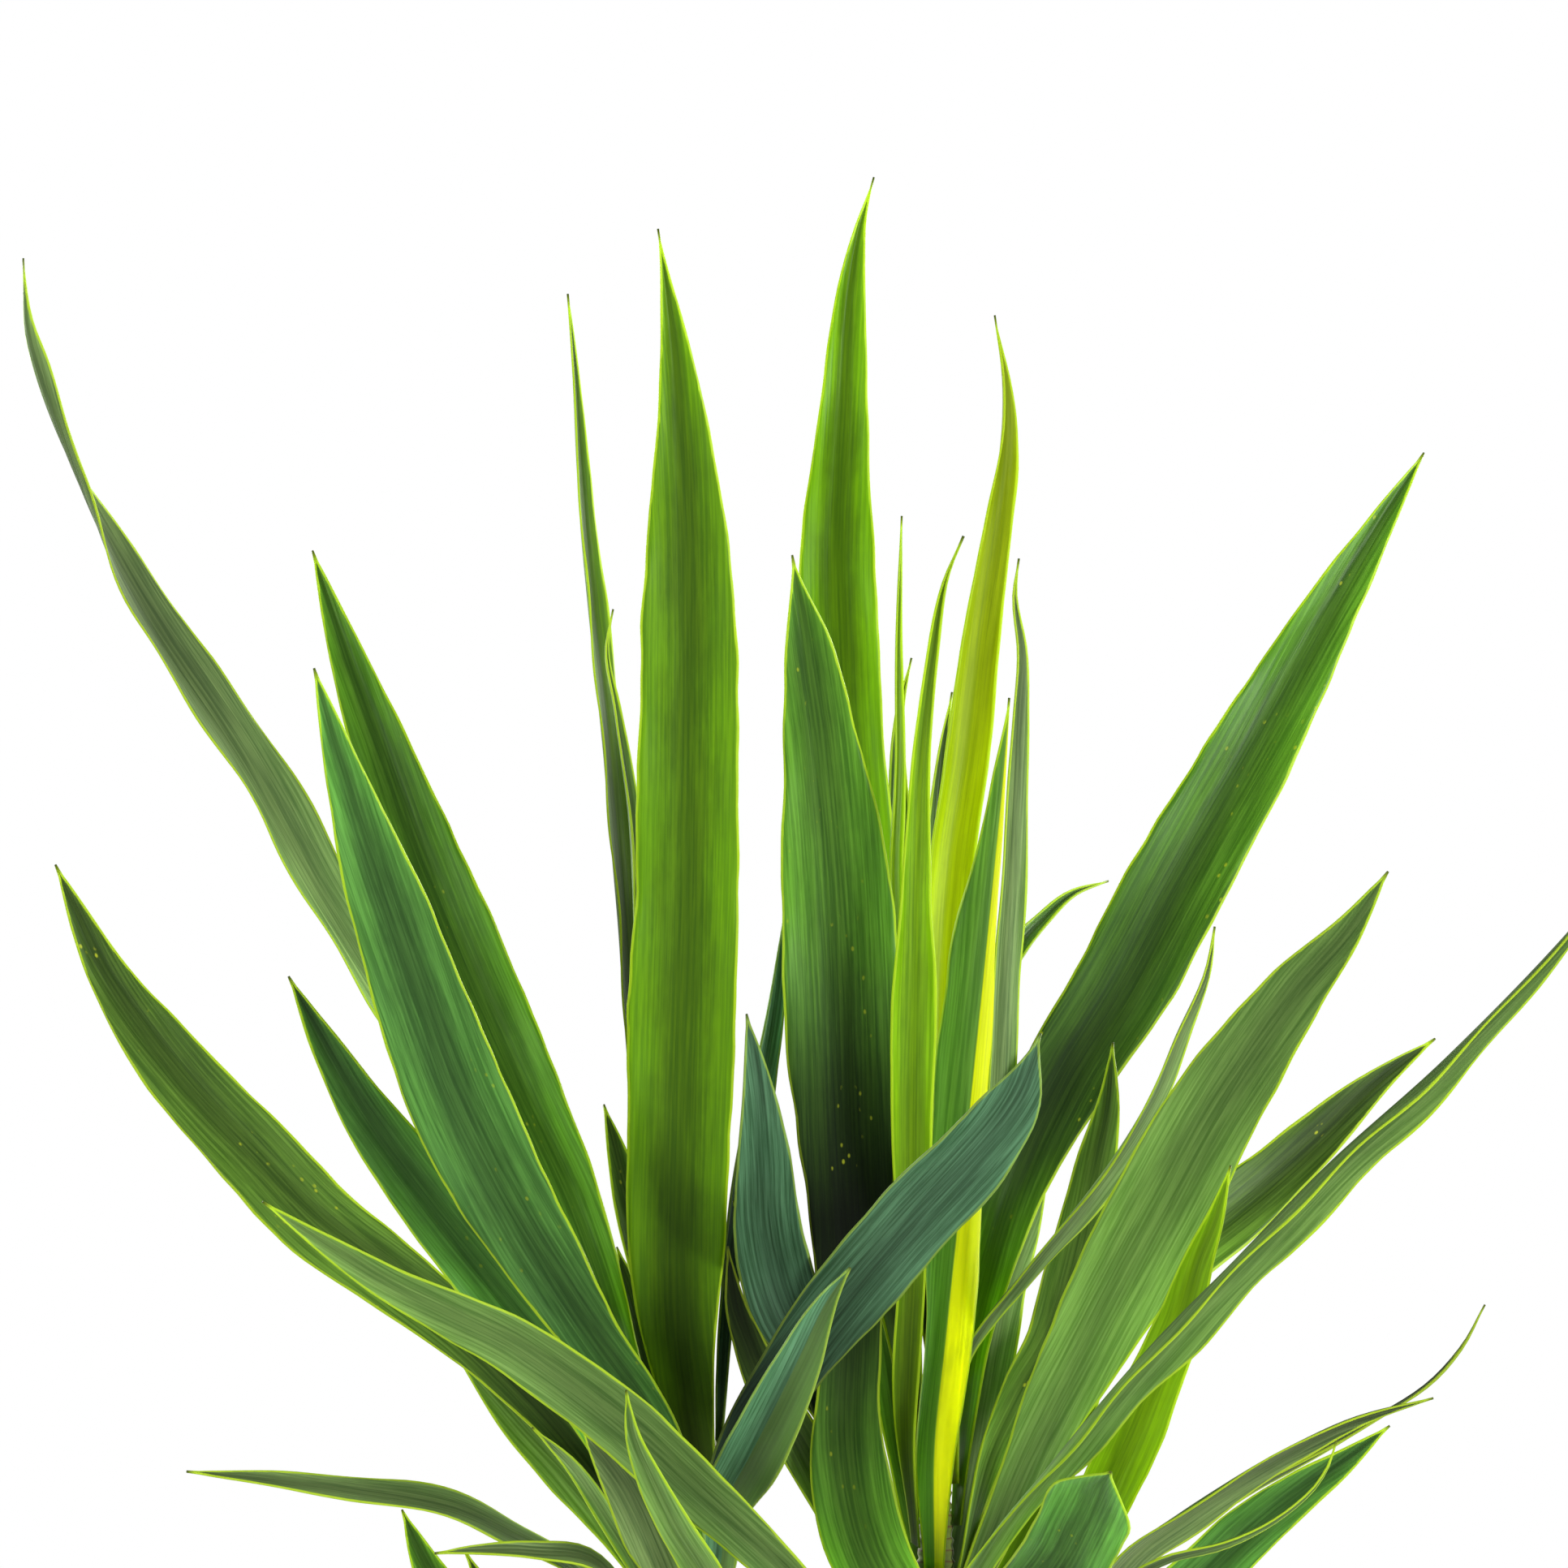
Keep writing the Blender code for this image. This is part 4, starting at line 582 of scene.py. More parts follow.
# %% Blade builder
def blade_mesh(leaf, order):
    """The fine mesh of one leaf, with its UV map and its distances in millimetres."""
    _, length = smooth_route(midline(leaf))
    count = max(FEWEST_ALONG_STEPS, round(length / ALONG_STEP))
    places = stations(leaf, count)
    _, painted_shading_along = look(leaf)
    shape = bmesh.new()
    shape.loops.layers.uv.new("blade")
    stored = {name: shape.verts.layers.float.new(name)
              for name in ("across_mm", "along_mm", "edge_mm", "tint", "painted_shading")}
    bmesh.ops.create_grid(shape, x_segments=ACROSS_STEPS, y_segments=count, size=1.0, calc_uvs=True)
    for vert in shape.verts:
        side = vert.co.x
        reach = abs(side)
        station = round((vert.co.y + 1) / 2 * count)
        share = station / count
        run = share * length
        point, across, facing, half, fold = places[station]
        free = ease(share / FIRST_SHARE) * ease((1 - share) / LAST_SHARE)

        half *= 1 - SPINE_NARROWING * (1 - ease((length - run) / SPINE_LENGTH))
        half = max(half * (1 + wobble(order, side, run) * free), END_WIDTH)
        bend = fold * (1 - ROUND_GUTTER * (1 - reach))
        lift = reach * half * math.sin(bend)
        lift += (EDGE_WAVE * free * reach ** 3 * edge_wave(order, side, run)
                 * min(1.0, half / EDGE_WAVES_FULLY_AT))
        lift += PLEAT_HEIGHT * free * math.cos(side * PLEATS * math.pi) * (1 - reach ** 4)
        vert.co = point + across * (side * half * math.cos(bend)) + facing * lift

        vert[stored["across_mm"]] = side * half * MM_IN_M
        vert[stored["along_mm"]] = run * MM_IN_M
        vert[stored["edge_mm"]] = (1 - reach) * half * MM_IN_M
        vert[stored["tint"]] = (order * GOLDEN_SHARE) % 1.0
        # Painted shading along the leaf: painted shade below 1, painted light above it.
        vert[stored["painted_shading"]] = max(DARKEST_PAINTED_SHADE, spread(painted_shading_along, share))
    for face in shape.faces:
        face.smooth = True
    mesh = bpy.data.meshes.new(leaf.name + "_blade")
    shape.to_mesh(mesh)
    shape.free()
    return mesh


# %% [markdown]
# ## The leaf's surface
# A yucca leaf is a stack of long fibres under a smooth waxy skin. Seen close it is striped by veins about
# a millimetre apart, with broader bands of paler and deeper green. Light passes through it and comes out
# yellow-green, most of all at its thin, finely toothed margin. The blade is therefore a mix of two
# shaders: a glossy one for the skin, and a translucent one for the light from behind. Old, shaded leaves
# are blue-green and young ones in the heart are lime, so the same recipe is used in several colours.

# %% Sizes of the leaf's patterns
# Each pattern's width across the blade and length along it, in millimetres. The finest real fibres are too
# thin to show, so the veins are drawn as coarse as they need to be.
VEIN_MM = (1.0, 60.0)
BAND_MM = (3.2, 240.0)
PATCH_MM = (14.0, 50.0)
FLECK_MM = (4.0, 6.5)
MARGIN_MM = 0.9
PATTERN_SEEDS = 97.0


# %% Patterns along a blade
def read_blade(tree):
    """What a leaf's material reads from its blade, and the patterns that are drawn out along it."""
    across, along, edge, tint, painted_shading = (
        add(tree, "ShaderNodeAttribute", {"attribute_name": stored}).outputs["Fac"]
        for stored in ("across_mm", "along_mm", "edge_mm", "tint", "painted_shading"))
    seed = add(tree, "ShaderNodeMath", {"operation": "MULTIPLY"}, _0=tint, _1=PATTERN_SEEDS).outputs[0]
    places = []
    for wide, long in (VEIN_MM, BAND_MM, PATCH_MM, FLECK_MM):
        fine = add(tree, "ShaderNodeMath", {"operation": "DIVIDE"}, _0=across, _1=wide).outputs[0]
        slow = add(tree, "ShaderNodeMath", {"operation": "DIVIDE"}, _0=along, _1=long).outputs[0]
        places.append(add(tree, "ShaderNodeCombineXYZ", X=fine, Y=slow, Z=seed).outputs[0])
    vein, band, patch = (
        add(tree, "ShaderNodeTexNoise", Vector=place, Scale=1.0, Detail=detail, Roughness=0.65).outputs["Fac"]
        for place, detail in zip(places, (4.0, 3.0, 4.0)))
    spot = add(tree, "ShaderNodeTexVoronoi", Vector=places[-1], Scale=1.0, Randomness=1.0).outputs["Distance"]
    flat = add(tree, "ShaderNodeSeparateXYZ", Vector=add(
        tree, "ShaderNodeUVMap", {"uv_map": "blade"}).outputs["UV"])
    return SimpleNamespace(across=across, edge=edge, painted_shading=painted_shading, vein=vein, band=band, patch=patch,
                           spot=spot, side=flat.outputs["X"], share=flat.outputs["Y"])


# %% Zones of a blade
def blade_zones(tree, blade, centre, flecks, rim):
    """How bright the blade is, and how much fleck, margin, pale foot and dry point it has at each place."""
    # 0 on the midrib and 1 at the margin. The middle is painted darker and the margins lighter: painted shade
    # where the blade is thick, and painted light where light passes its thin edges. The dark middle wanders a
    # little along the leaf.
    reach = add(tree, "ShaderNodeMath", {"operation": "MULTIPLY_ADD"}, _0=blade.side, _1=2.0,
                _2=-1.0).outputs[0]
    drift = add(tree, "ShaderNodeMath", {"operation": "MULTIPLY_ADD"}, _0=blade.patch, _1=0.9,
                _2=-0.45).outputs[0]
    reach = add(tree, "ShaderNodeMath", {"operation": "ADD"}, _0=reach, _1=drift).outputs[0]
    reach = add(tree, "ShaderNodeMath", {"operation": "ABSOLUTE"}, _0=reach).outputs[0]
    bright = add(tree, "ShaderNodeMapRange", {"interpolation_type": "SMOOTHSTEP"}, Value=reach,
                 From_Min=0.05, From_Max=0.85, To_Min=centre, To_Max=1.08).outputs[0]
    # The painted shading along the leaf darkens or brightens the whole blade.
    bright = add(tree, "ShaderNodeMath", {"operation": "MULTIPLY"}, _0=bright, _1=blade.painted_shading).outputs[0]

    # Small pale flecks, in a few patches only, where the skin was scraped or bitten.
    near = add(tree, "ShaderNodeMapRange", Value=blade.spot, From_Min=0.20, From_Max=0.10).outputs[0]
    rare = add(tree, "ShaderNodeMapRange", Value=blade.patch, From_Min=0.57, From_Max=0.62).outputs[0]
    fleck = add(tree, "ShaderNodeMath", {"operation": "MULTIPLY"}, _0=near, _1=rare).outputs[0]
    fleck = add(tree, "ShaderNodeMath", {"operation": "MULTIPLY"}, _0=fleck, _1=flecks).outputs[0]

    # The margin's yellow-green on the skin is partly its own colour and partly painted light from behind. The
    # veins make its inner edge uneven, and it is fainter where the painted shade is deep.
    toothed = add(tree, "ShaderNodeMath", {"operation": "SUBTRACT"}, _0=blade.edge, _1=blade.vein).outputs[0]
    margin = add(tree, "ShaderNodeMapRange", Value=toothed, From_Min=MARGIN_MM - 0.4,
                 From_Max=MARGIN_MM - 0.75, To_Max=rim).outputs[0]
    lit = add(tree, "ShaderNodeMapRange", Value=blade.painted_shading, From_Min=0.1, From_Max=0.7,
              To_Min=0.25).outputs[0]
    margin = add(tree, "ShaderNodeMath", {"operation": "MULTIPLY"}, _0=margin, _1=lit).outputs[0]

    # The foot is pale where the leaves wrap each other, and the point is dry.
    foot = add(tree, "ShaderNodeMapRange", Value=blade.share, From_Min=0.10, From_Max=0.0, To_Max=0.5)
    dry = add(tree, "ShaderNodeMapRange", Value=blade.share, From_Min=0.988, From_Max=1.0, To_Max=0.85)
    return bright, fleck, margin, foot.outputs[0], dry.outputs[0]


# %% Recipe for a leaf surface
def leaf_material(name, deep, light, through, glow=0.42, flecks=0.0, gloss=0.40, centre=0.55, rim=0.85,
                  other_half=None):
    """deep and light are the skin's colours, and through is the colour of the light that passes the blade.

    glow is how much passes it, and gloss is the wax's roughness. flecks is how plain the flecks are,
    centre how bright the thick middle is painted, and rim how plain the margin is. other_half gives the
    skin and through colours of the blade's other half, where the two differ; on one finish that half's skin
    is painted light.
    """
    material, tree, output = new_material(name)
    blade = read_blade(tree)
    bright, fleck, margin, foot, dry = blade_zones(tree, blade, centre, flecks, rim)

    veins = add(tree, "ShaderNodeMapRange", Value=blade.vein, From_Min=0.4, From_Max=0.66, To_Min=0.1,
                To_Max=0.9).outputs[0]
    bands = add(tree, "ShaderNodeMapRange", Value=blade.band, From_Min=0.3, From_Max=0.7, To_Min=0.25,
                To_Max=0.75).outputs[0]
    stripes = add(tree, "ShaderNodeMix", {"data_type": "FLOAT"}, _0=0.32, _2=veins, _3=bands).outputs[0]
    skin = add(tree, "ShaderNodeMix", {"data_type": "RGBA"}, _0=stripes, _6=linear(deep),
               _7=linear(light)).outputs[2]
    inner = linear(through)
    if other_half:
        half = add(tree, "ShaderNodeMapRange", Value=blade.across, From_Min=-0.2, From_Max=0.4).outputs[0]
        faded = add(tree, "ShaderNodeMapRange", Value=stripes, To_Min=0.75, To_Max=1.1).outputs[0]
        other = add(tree, "ShaderNodeHueSaturation", Color=linear(other_half[0]), Value=faded).outputs[0]
        skin = add(tree, "ShaderNodeMix", {"data_type": "RGBA"}, _0=half, _6=skin, _7=other).outputs[2]
        inner = add(tree, "ShaderNodeMix", {"data_type": "RGBA"}, _0=half, _6=inner,
                    _7=linear(other_half[1])).outputs[2]

    # The skin takes the painted brightness: painted shade in the thick middle and on shaded leaves, painted
    # light toward the edges.
    skin = add(tree, "ShaderNodeHueSaturation", Value=bright, Color=skin).outputs[0]
    # The margin colour mixed into the skin here is partly painted light.
    for amount, colour in ((fleck, "b9c42e"), (margin, "b8d428"), (foot, "5f7430"), (dry, "37401c")):
        skin = add(tree, "ShaderNodeMix", {"data_type": "RGBA"}, _0=amount, _6=skin,
                   _7=linear(colour)).outputs[2]
    ridges = add(tree, "ShaderNodeBump", Strength=0.4, Distance=0.0004, Height=blade.vein).outputs[0]
    wax = add(tree, "ShaderNodeMapRange", Value=blade.band, To_Min=gloss - 0.07,
              To_Max=gloss + 0.09).outputs[0]
    # The wax is rougher where the painted shade is deep, so those parts show less sheen.
    duller_in_painted_shade = add(tree, "ShaderNodeMapRange", Value=blade.painted_shading, From_Min=1.0, From_Max=0.1, To_Max=0.45)
    wax = add(tree, "ShaderNodeMath", {"operation": "ADD", "use_clamp": True}, _0=wax,
              _1=duller_in_painted_shade.outputs[0]).outputs[0]
    face = add(tree, "ShaderNodeBsdfPrincipled", Base_Color=skin, Roughness=wax, IOR=1.42,
               Specular_IOR_Level=0.3, Normal=ridges)

    # The light that passes the blade is painted weaker in the same places, and along the deeper stripes.
    thin = add(tree, "ShaderNodeMapRange", Value=stripes, To_Min=0.6, To_Max=1.0).outputs[0]
    thin = add(tree, "ShaderNodeMath", {"operation": "MULTIPLY"}, _0=bright, _1=thin).outputs[0]
    inner = add(tree, "ShaderNodeHueSaturation", Value=thin, Color=inner).outputs[0]
    for amount, colour in ((margin, "e6ff50"), (dry, "223010")):
        inner = add(tree, "ShaderNodeMix", {"data_type": "RGBA"}, _0=amount, _6=inner,
                    _7=linear(colour)).outputs[2]
    passed = add(tree, "ShaderNodeBsdfTranslucent", Color=inner)
    both = add(tree, "ShaderNodeMixShader", _0=glow, _1=face.outputs[0], _2=passed.outputs[0])
    tree.links.new(both.outputs[0], output.inputs["Surface"])
    return material


# %% Leaf colours
finishes = {
    "sunlit": leaf_material("leaf, grown in full light", "40700a", "78a40c", "a8d004", 0.48),
    "lime": leaf_material("leaf, young and lime", "98bc04", "c8e008", "ecfa06", 0.55, centre=0.85),
    "fresh": leaf_material("leaf, fresh yellow-green", "52800a", "9cc418", "c0e40c", 0.5, centre=0.75),
    "mid": leaf_material("leaf, mature green", "20500c", "70a436", "98c814", 0.42, 0.7),
    "cool": leaf_material("leaf, mature and a little blue", "1e481a", "68a04c", "8cc028", 0.4, 0.5),
    # The pale blue-green streaks of blue and turned are partly the veins' own colour and partly a painted
    # sheen.
    "blue": leaf_material("leaf, blue-green shaded side", "14381a", "6a9e74", "4a8a1c", 0.26, gloss=0.34,
                          centre=0.7, rim=0.4),
    # This finish's paleness is partly the leaf's own colour and partly a painted grazing sheen.
    "pale": leaf_material("leaf, pale green, partly a painted sheen", "3e6a26", "98bc68", "a0c82c", 0.42, gloss=0.5, centre=0.75),
    "grey": leaf_material("leaf, grey-green with bloom", "324e26", "8aa262", "74a024", 0.34, gloss=0.52,
                          centre=0.75),
    "dark": leaf_material("leaf, old and dark", "22430c", "70943a", "7ca010", 0.38, 1.0, centre=0.6),
    # This finish paints one half of the blade bright yellow, as painted light from behind.
    "halved": leaf_material("leaf, folded, one half painted as lit from behind", "3a6e1e", "80b444", "86b828", 0.5,
                            centre=0.9, other_half=("e2f004", "fff810")),
    "turned": leaf_material("leaf, folded with its paler back showing", "14381a", "6a9e74", "4a8a1c", 0.3,
                            gloss=0.34, centre=0.8, rim=0.4, other_half=("5a7940", "86a838")),
}
print("leaf finishes:", len(finishes))

# %% Lay every blade
for order, leaf in enumerate(LEAVES):
    mesh = blade_mesh(leaf, order)
    blade = bpy.data.objects.new(leaf.name + "_blade", mesh)
    scene.collection.objects.link(blade)
    finish, _ = look(leaf)
    mesh.materials.append(finishes[finish])
    wall = blade.modifiers.new("Thickness", "SOLIDIFY")
    wall.thickness = BLADE_THICKNESS
    wall.offset = 0.0
    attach(blade, "root")
    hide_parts(leaf.name)
print("blades laid:", len(LEAVES))

# %% [markdown]
# ## Clay pot
# A flower pot is thrown or pressed from red earthenware and fired without a glaze. It is matte, a little
# uneven in colour, and water drawn through its wall leaves a pale bloom of lime, most of it low down and
# under the rim. The shape is turned, so its outline is spun once round the axis.

# %% Turn a shape into a piece
def finish_piece(name, shape, material, node=None, smooth=True, sharp_from=None):
    """Writes a bmesh into an object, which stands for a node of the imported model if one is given.

    A smooth piece's edges stay sharp where they turn by sharp_from degrees or more.
    """
    for face in shape.faces:
        face.smooth = smooth
    mesh = bpy.data.meshes.new(name)
    shape.to_mesh(mesh)
    shape.free()
    if sharp_from:
        mesh.set_sharp_from_angle(angle=math.radians(sharp_from))
    mesh.materials.append(material)
    piece = bpy.data.objects.new(name, mesh)
    scene.collection.objects.link(piece)
    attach(piece, "root")
    if node:
        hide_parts(node)
    print(name, "faces:", len(mesh.polygons))
    return piece


# %% Fired clay
# Sizes in millimetres: clouds of colour, the sand in the clay, and the marks of throwing. Those run round
# the pot, and are so many times wider than high.
CLOUD_MM = 71.4
GRIT_MM = 1.11
THROWING_MM = 166.7
THROWING_STRETCH = 60.0


def clay_material():
    """Unglazed red earthenware: matte, speckled, with a pale bloom of lime."""
    material, tree, output = new_material("fired red earthenware")
    place = add(tree, "ShaderNodeTexCoord").outputs["Object"]
    height = add(tree, "ShaderNodeSeparateXYZ", Vector=place).outputs["Z"]
    cloud = add(tree, "ShaderNodeTexNoise", Vector=place, Scale=MM_IN_M / CLOUD_MM, Detail=5.0,
                Roughness=0.6).outputs["Fac"]
    grit = add(tree, "ShaderNodeTexNoise", Vector=place, Scale=MM_IN_M / GRIT_MM, Detail=2.0).outputs["Fac"]
    flat = add(tree, "ShaderNodeMapping", Vector=place, Scale=(1.0, 1.0, THROWING_STRETCH)).outputs[0]
    rings = add(tree, "ShaderNodeTexNoise", Vector=flat, Scale=MM_IN_M / THROWING_MM,
                Detail=3.0).outputs["Fac"]
    tone = add(tree, "ShaderNodeMapRange", Value=cloud, From_Min=0.35, From_Max=0.65).outputs[0]
    low = add(tree, "ShaderNodeMapRange", Value=height, From_Min=0.075, From_Max=0.0, To_Max=0.35).outputs[0]
    patchy = add(tree, "ShaderNodeMapRange", Value=cloud, From_Min=0.50, From_Max=0.72).outputs[0]
    bloom = add(tree, "ShaderNodeMath", {"operation": "ADD"}, _0=low, _1=0.22).outputs[0]
    bloom = add(tree, "ShaderNodeMath", {"operation": "MULTIPLY"}, _0=bloom, _1=patchy).outputs[0]
    speck = add(tree, "ShaderNodeMapRange", Value=grit, From_Min=0.60, From_Max=0.72, To_Max=0.5).outputs[0]
    body = linear("8f4a2c")
    for amount, colour in ((tone, "aa6442"), (bloom, "cdb4a2"), (speck, "6a3520")):
        body = add(tree, "ShaderNodeMix", {"data_type": "RGBA"}, _0=amount, _6=body,
                   _7=linear(colour)).outputs[2]
    relief = add(tree, "ShaderNodeMath", {"operation": "ADD"}, _0=grit, _1=rings).outputs[0]
    bump = add(tree, "ShaderNodeBump", Strength=0.25, Distance=0.0005, Height=relief).outputs[0]
    clay = add(tree, "ShaderNodeBsdfPrincipled", Base_Color=body, Roughness=0.86, Normal=bump)
    tree.links.new(clay.outputs[0], output.inputs["Surface"])
    return material


# %% Pot sizes
POT_HEIGHT = 0.220
POT_RIM_RADIUS = 0.120
POT_BASE_RADIUS = 0.086
POT_WALL = 0.008
POT_FLOOR = 0.012
FLOOR_RING_INSET = 0.006
FLOOR_FILLET = 0.005
LIP = 0.0035
RIM_BAND_HEIGHT = 0.042
RIM_BAND_STEP = 0.006
RIM_BAND_TAPER = 0.0015
BAND_EDGE = 0.002
BAND_FILLET = 0.003
FOOT_EDGE = 0.003
POT_SPIN_STEPS = 128
MERGE_WITHIN = 0.00002


def pot_radius(height):
    """The pot's outer radius below its rim band."""
    return POT_BASE_RADIUS + (POT_RIM_RADIUS - RIM_BAND_STEP - POT_BASE_RADIUS) * height / POT_HEIGHT


# %% Pot shape
def corner(centre, radius, start, end, steps=5):
    """Points of (radius, height) round a small rounded corner, from angle start to end in degrees."""
    points = []
    for step in range(steps + 1):
        angle = math.radians(start + (end - start) * step / steps)
        points.append((centre[0] + radius * math.cos(angle), centre[1] + radius * math.sin(angle)))
    return points


band_low = POT_HEIGHT - RIM_BAND_HEIGHT
band_low_radius = POT_RIM_RADIUS - RIM_BAND_TAPER
fillet_low = band_low - BAND_FILLET
inner_top = pot_radius(POT_HEIGHT) - POT_WALL
inner_floor = pot_radius(POT_FLOOR) - POT_WALL
outline = [(0.0, POT_FLOOR), (inner_floor - FLOOR_RING_INSET, POT_FLOOR)]
outline += corner((inner_floor - FLOOR_FILLET, POT_FLOOR + FLOOR_FILLET), FLOOR_FILLET, 270, 360)
outline += corner((inner_top + LIP, POT_HEIGHT - LIP), LIP, 180, 90)
outline += corner((POT_RIM_RADIUS - LIP, POT_HEIGHT - LIP), LIP, 90, 0)
outline += corner((band_low_radius - BAND_EDGE, band_low + BAND_EDGE), BAND_EDGE, 0, -90)
outline += corner((pot_radius(fillet_low) + BAND_FILLET, fillet_low), BAND_FILLET, 90, 180)
outline += corner((POT_BASE_RADIUS - FOOT_EDGE, FOOT_EDGE), FOOT_EDGE, 0, -90)
outline += [(0.0, 0.0)]

shape = bmesh.new()
points = [shape.verts.new((radius, 0.0, height)) for radius, height in outline]
rim = [shape.edges.new(pair) for pair in zip(points, points[1:])]
bmesh.ops.spin(shape, geom=points + rim, axis=(0, 0, 1), cent=(0, 0, 0), angle=math.tau,
               steps=POT_SPIN_STEPS, use_merge=True)
bmesh.ops.remove_doubles(shape, verts=shape.verts, dist=MERGE_WITHIN)
bmesh.ops.recalc_face_normals(shape, faces=shape.faces)
pot = finish_piece("clay_pot", shape, clay_material(), node="pot", sharp_from=40)

# %% Drain holes
DRAIN_HOLE_RADIUS = 0.006
DRAIN_HOLE_DISTANCE = 0.040
DRAIN_HOLES = 3
DRAIN_HOLE_SEGMENTS = 32

drill_shape = bmesh.new()
for index in range(DRAIN_HOLES):
    angle = math.radians(90 + 360 * index / DRAIN_HOLES)
    made = bmesh.ops.create_cone(drill_shape, cap_ends=True, segments=DRAIN_HOLE_SEGMENTS,
                                 radius1=DRAIN_HOLE_RADIUS, radius2=DRAIN_HOLE_RADIUS, depth=4 * POT_FLOOR)
    bmesh.ops.translate(drill_shape, verts=made["verts"], vec=(
        DRAIN_HOLE_DISTANCE * math.cos(angle), DRAIN_HOLE_DISTANCE * math.sin(angle), 0.0))
drill_mesh = bpy.data.meshes.new("drill")
drill_shape.to_mesh(drill_mesh)
drill_shape.free()
drill = bpy.data.objects.new("drill", drill_mesh)
scene.collection.objects.link(drill)
holes = pot.modifiers.new("Drain holes", "BOOLEAN")
holes.operation = "DIFFERENCE"
holes.solver = "EXACT"
holes.object = drill
graph = bpy.context.evaluated_depsgraph_get()
drilled = bpy.data.meshes.new_from_object(pot.evaluated_get(graph))
pot.modifiers.clear()
pot.data = drilled
bpy.data.objects.remove(drill)
print("drain holes:", DRAIN_HOLES)

# %% [markdown]
# ## Potting soil
# The soil is peat and bark in crumbs of a few millimetres, with white grains of perlite. Its surface is a
# fine disc pushed up and down by noise, and a few hundred separate crumbs lie on it, so that it reads as
# loose matter from the side and not as a painted disc.

# %% Soil finish
# Sizes in millimetres: the crumbs, and the damp patches.
CRUMB_MM = 2.38
DAMP_MM = 35.7


def soil_material(name, dark, pale):
    """Crumbly peat: almost black when damp, brown where it has dried."""
    material, tree, output = new_material(name)
    place = add(tree, "ShaderNodeTexCoord").outputs["Object"]
    crumbs = add(tree, "ShaderNodeTexNoise", Vector=place, Scale=MM_IN_M / CRUMB_MM, Detail=4.0,
                 Roughness=0.7).outputs["Fac"]
    damp = add(tree, "ShaderNodeTexNoise", Vector=place, Scale=MM_IN_M / DAMP_MM, Detail=3.0).outputs["Fac"]
    mixed = add(tree, "ShaderNodeMath", {"operation": "MULTIPLY"}, _0=crumbs, _1=damp).outputs[0]
    dry = add(tree, "ShaderNodeMapRange", Value=mixed, From_Min=0.16, From_Max=0.36).outputs[0]
    colour = add(tree, "ShaderNodeMix", {"data_type": "RGBA"}, _0=dry, _6=linear(dark),
                 _7=linear(pale)).outputs[2]
    bump = add(tree, "ShaderNodeBump", Strength=0.6, Distance=0.001, Height=crumbs).outputs[0]
    earth = add(tree, "ShaderNodeBsdfPrincipled", Base_Color=colour, Roughness=0.95, Normal=bump)
    tree.links.new(earth.outputs[0], output.inputs["Surface"])
    return material


# %% Rings
def extrude_ring(shape, edges):
    """Extrudes a ring of edges on the spot. Gives the new ring's points and its edges, ready to be moved."""
    made = bmesh.ops.extrude_edge_only(shape, edges=edges)["geom"]
    points = [item for item in made if isinstance(item, bmesh.types.BMVert)]
    ring = [item for item in made if isinstance(item, bmesh.types.BMEdge)
            and all(vert in points for vert in item.verts)]
    return points, ring


# %% Soil sizes
SOIL_TOP = 0.196
SOIL_MOUND = 0.005
SOIL_SINK = 0.001
WALL_GAP = 0.0008
CANE_RADIUS = 0.024
CANE_GAP = 0.0006
CANE_HOLE_DEPTH = 0.03
SOIL_RINGS = 46
SOIL_STEPS = 160
LUMP_HEIGHT = 0.0012
LUMPS_PER_M = 160
LUMP_LAYERS = (0.9, 2.1, 4)
SWELL_HEIGHT = 0.0014
SWELLS_PER_M = 34
soil_low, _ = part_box("soil")
soil_radius = pot_radius(SOIL_TOP) - POT_WALL - WALL_GAP
print("soil radius:", round(soil_radius * MM_IN_M, 1), "mm")


def soil_height(reach):
    """The mound's height at a distance from the axis: highest round the cane, lowest at the wall."""
    share = 1 - (reach - CANE_RADIUS) / (soil_radius - CANE_RADIUS)
    return SOIL_TOP - SOIL_MOUND * (1 - ease(share))


# %% Soil shape
shape = bmesh.new()
bmesh.ops.create_circle(shape, segments=SOIL_STEPS, radius=soil_radius)
bmesh.ops.translate(shape, verts=shape.verts, vec=(0, 0, SOIL_TOP - SOIL_MOUND))
circle = list(shape.edges)
for step in range(1, SOIL_RINGS):
    ring, circle = extrude_ring(shape, circle)
    reach = soil_radius + (CANE_RADIUS + CANE_GAP - soil_radius) * step / (SOIL_RINGS - 1)
    for vert in ring:
        spot = Vector((vert.co.x, vert.co.y, 0.0)).normalized() * reach
        lump = noise.fractal(Vector((spot.x, spot.y, 0.3)) * LUMPS_PER_M, *LUMP_LAYERS)
        swell = noise.noise(Vector((spot.x, spot.y, 1.7)) * SWELLS_PER_M)
        spot.z = soil_height(reach) + LUMP_HEIGHT * lump + SWELL_HEIGHT * swell - SOIL_SINK
        vert.co = spot
lower, _ = extrude_ring(shape, [edge for edge in shape.edges if edge.is_boundary])
for vert in lower:
    out = Vector((vert.co.x, vert.co.y, 0.0))
    if out.length > (CANE_RADIUS + soil_radius) / 2:
        out = out.normalized() * (inner_floor - FLOOR_RING_INSET)
        vert.co = (out.x, out.y, soil_low.z)
    else:
        vert.co.z = SOIL_TOP - CANE_HOLE_DEPTH
bmesh.ops.holes_fill(shape, edges=[edge for edge in shape.edges if edge.is_boundary], sides=0)
bmesh.ops.recalc_face_normals(shape, faces=shape.faces)
finish_piece("potting_soil", shape, soil_material("potting soil", "140d09", "4a3524"), node="soil")


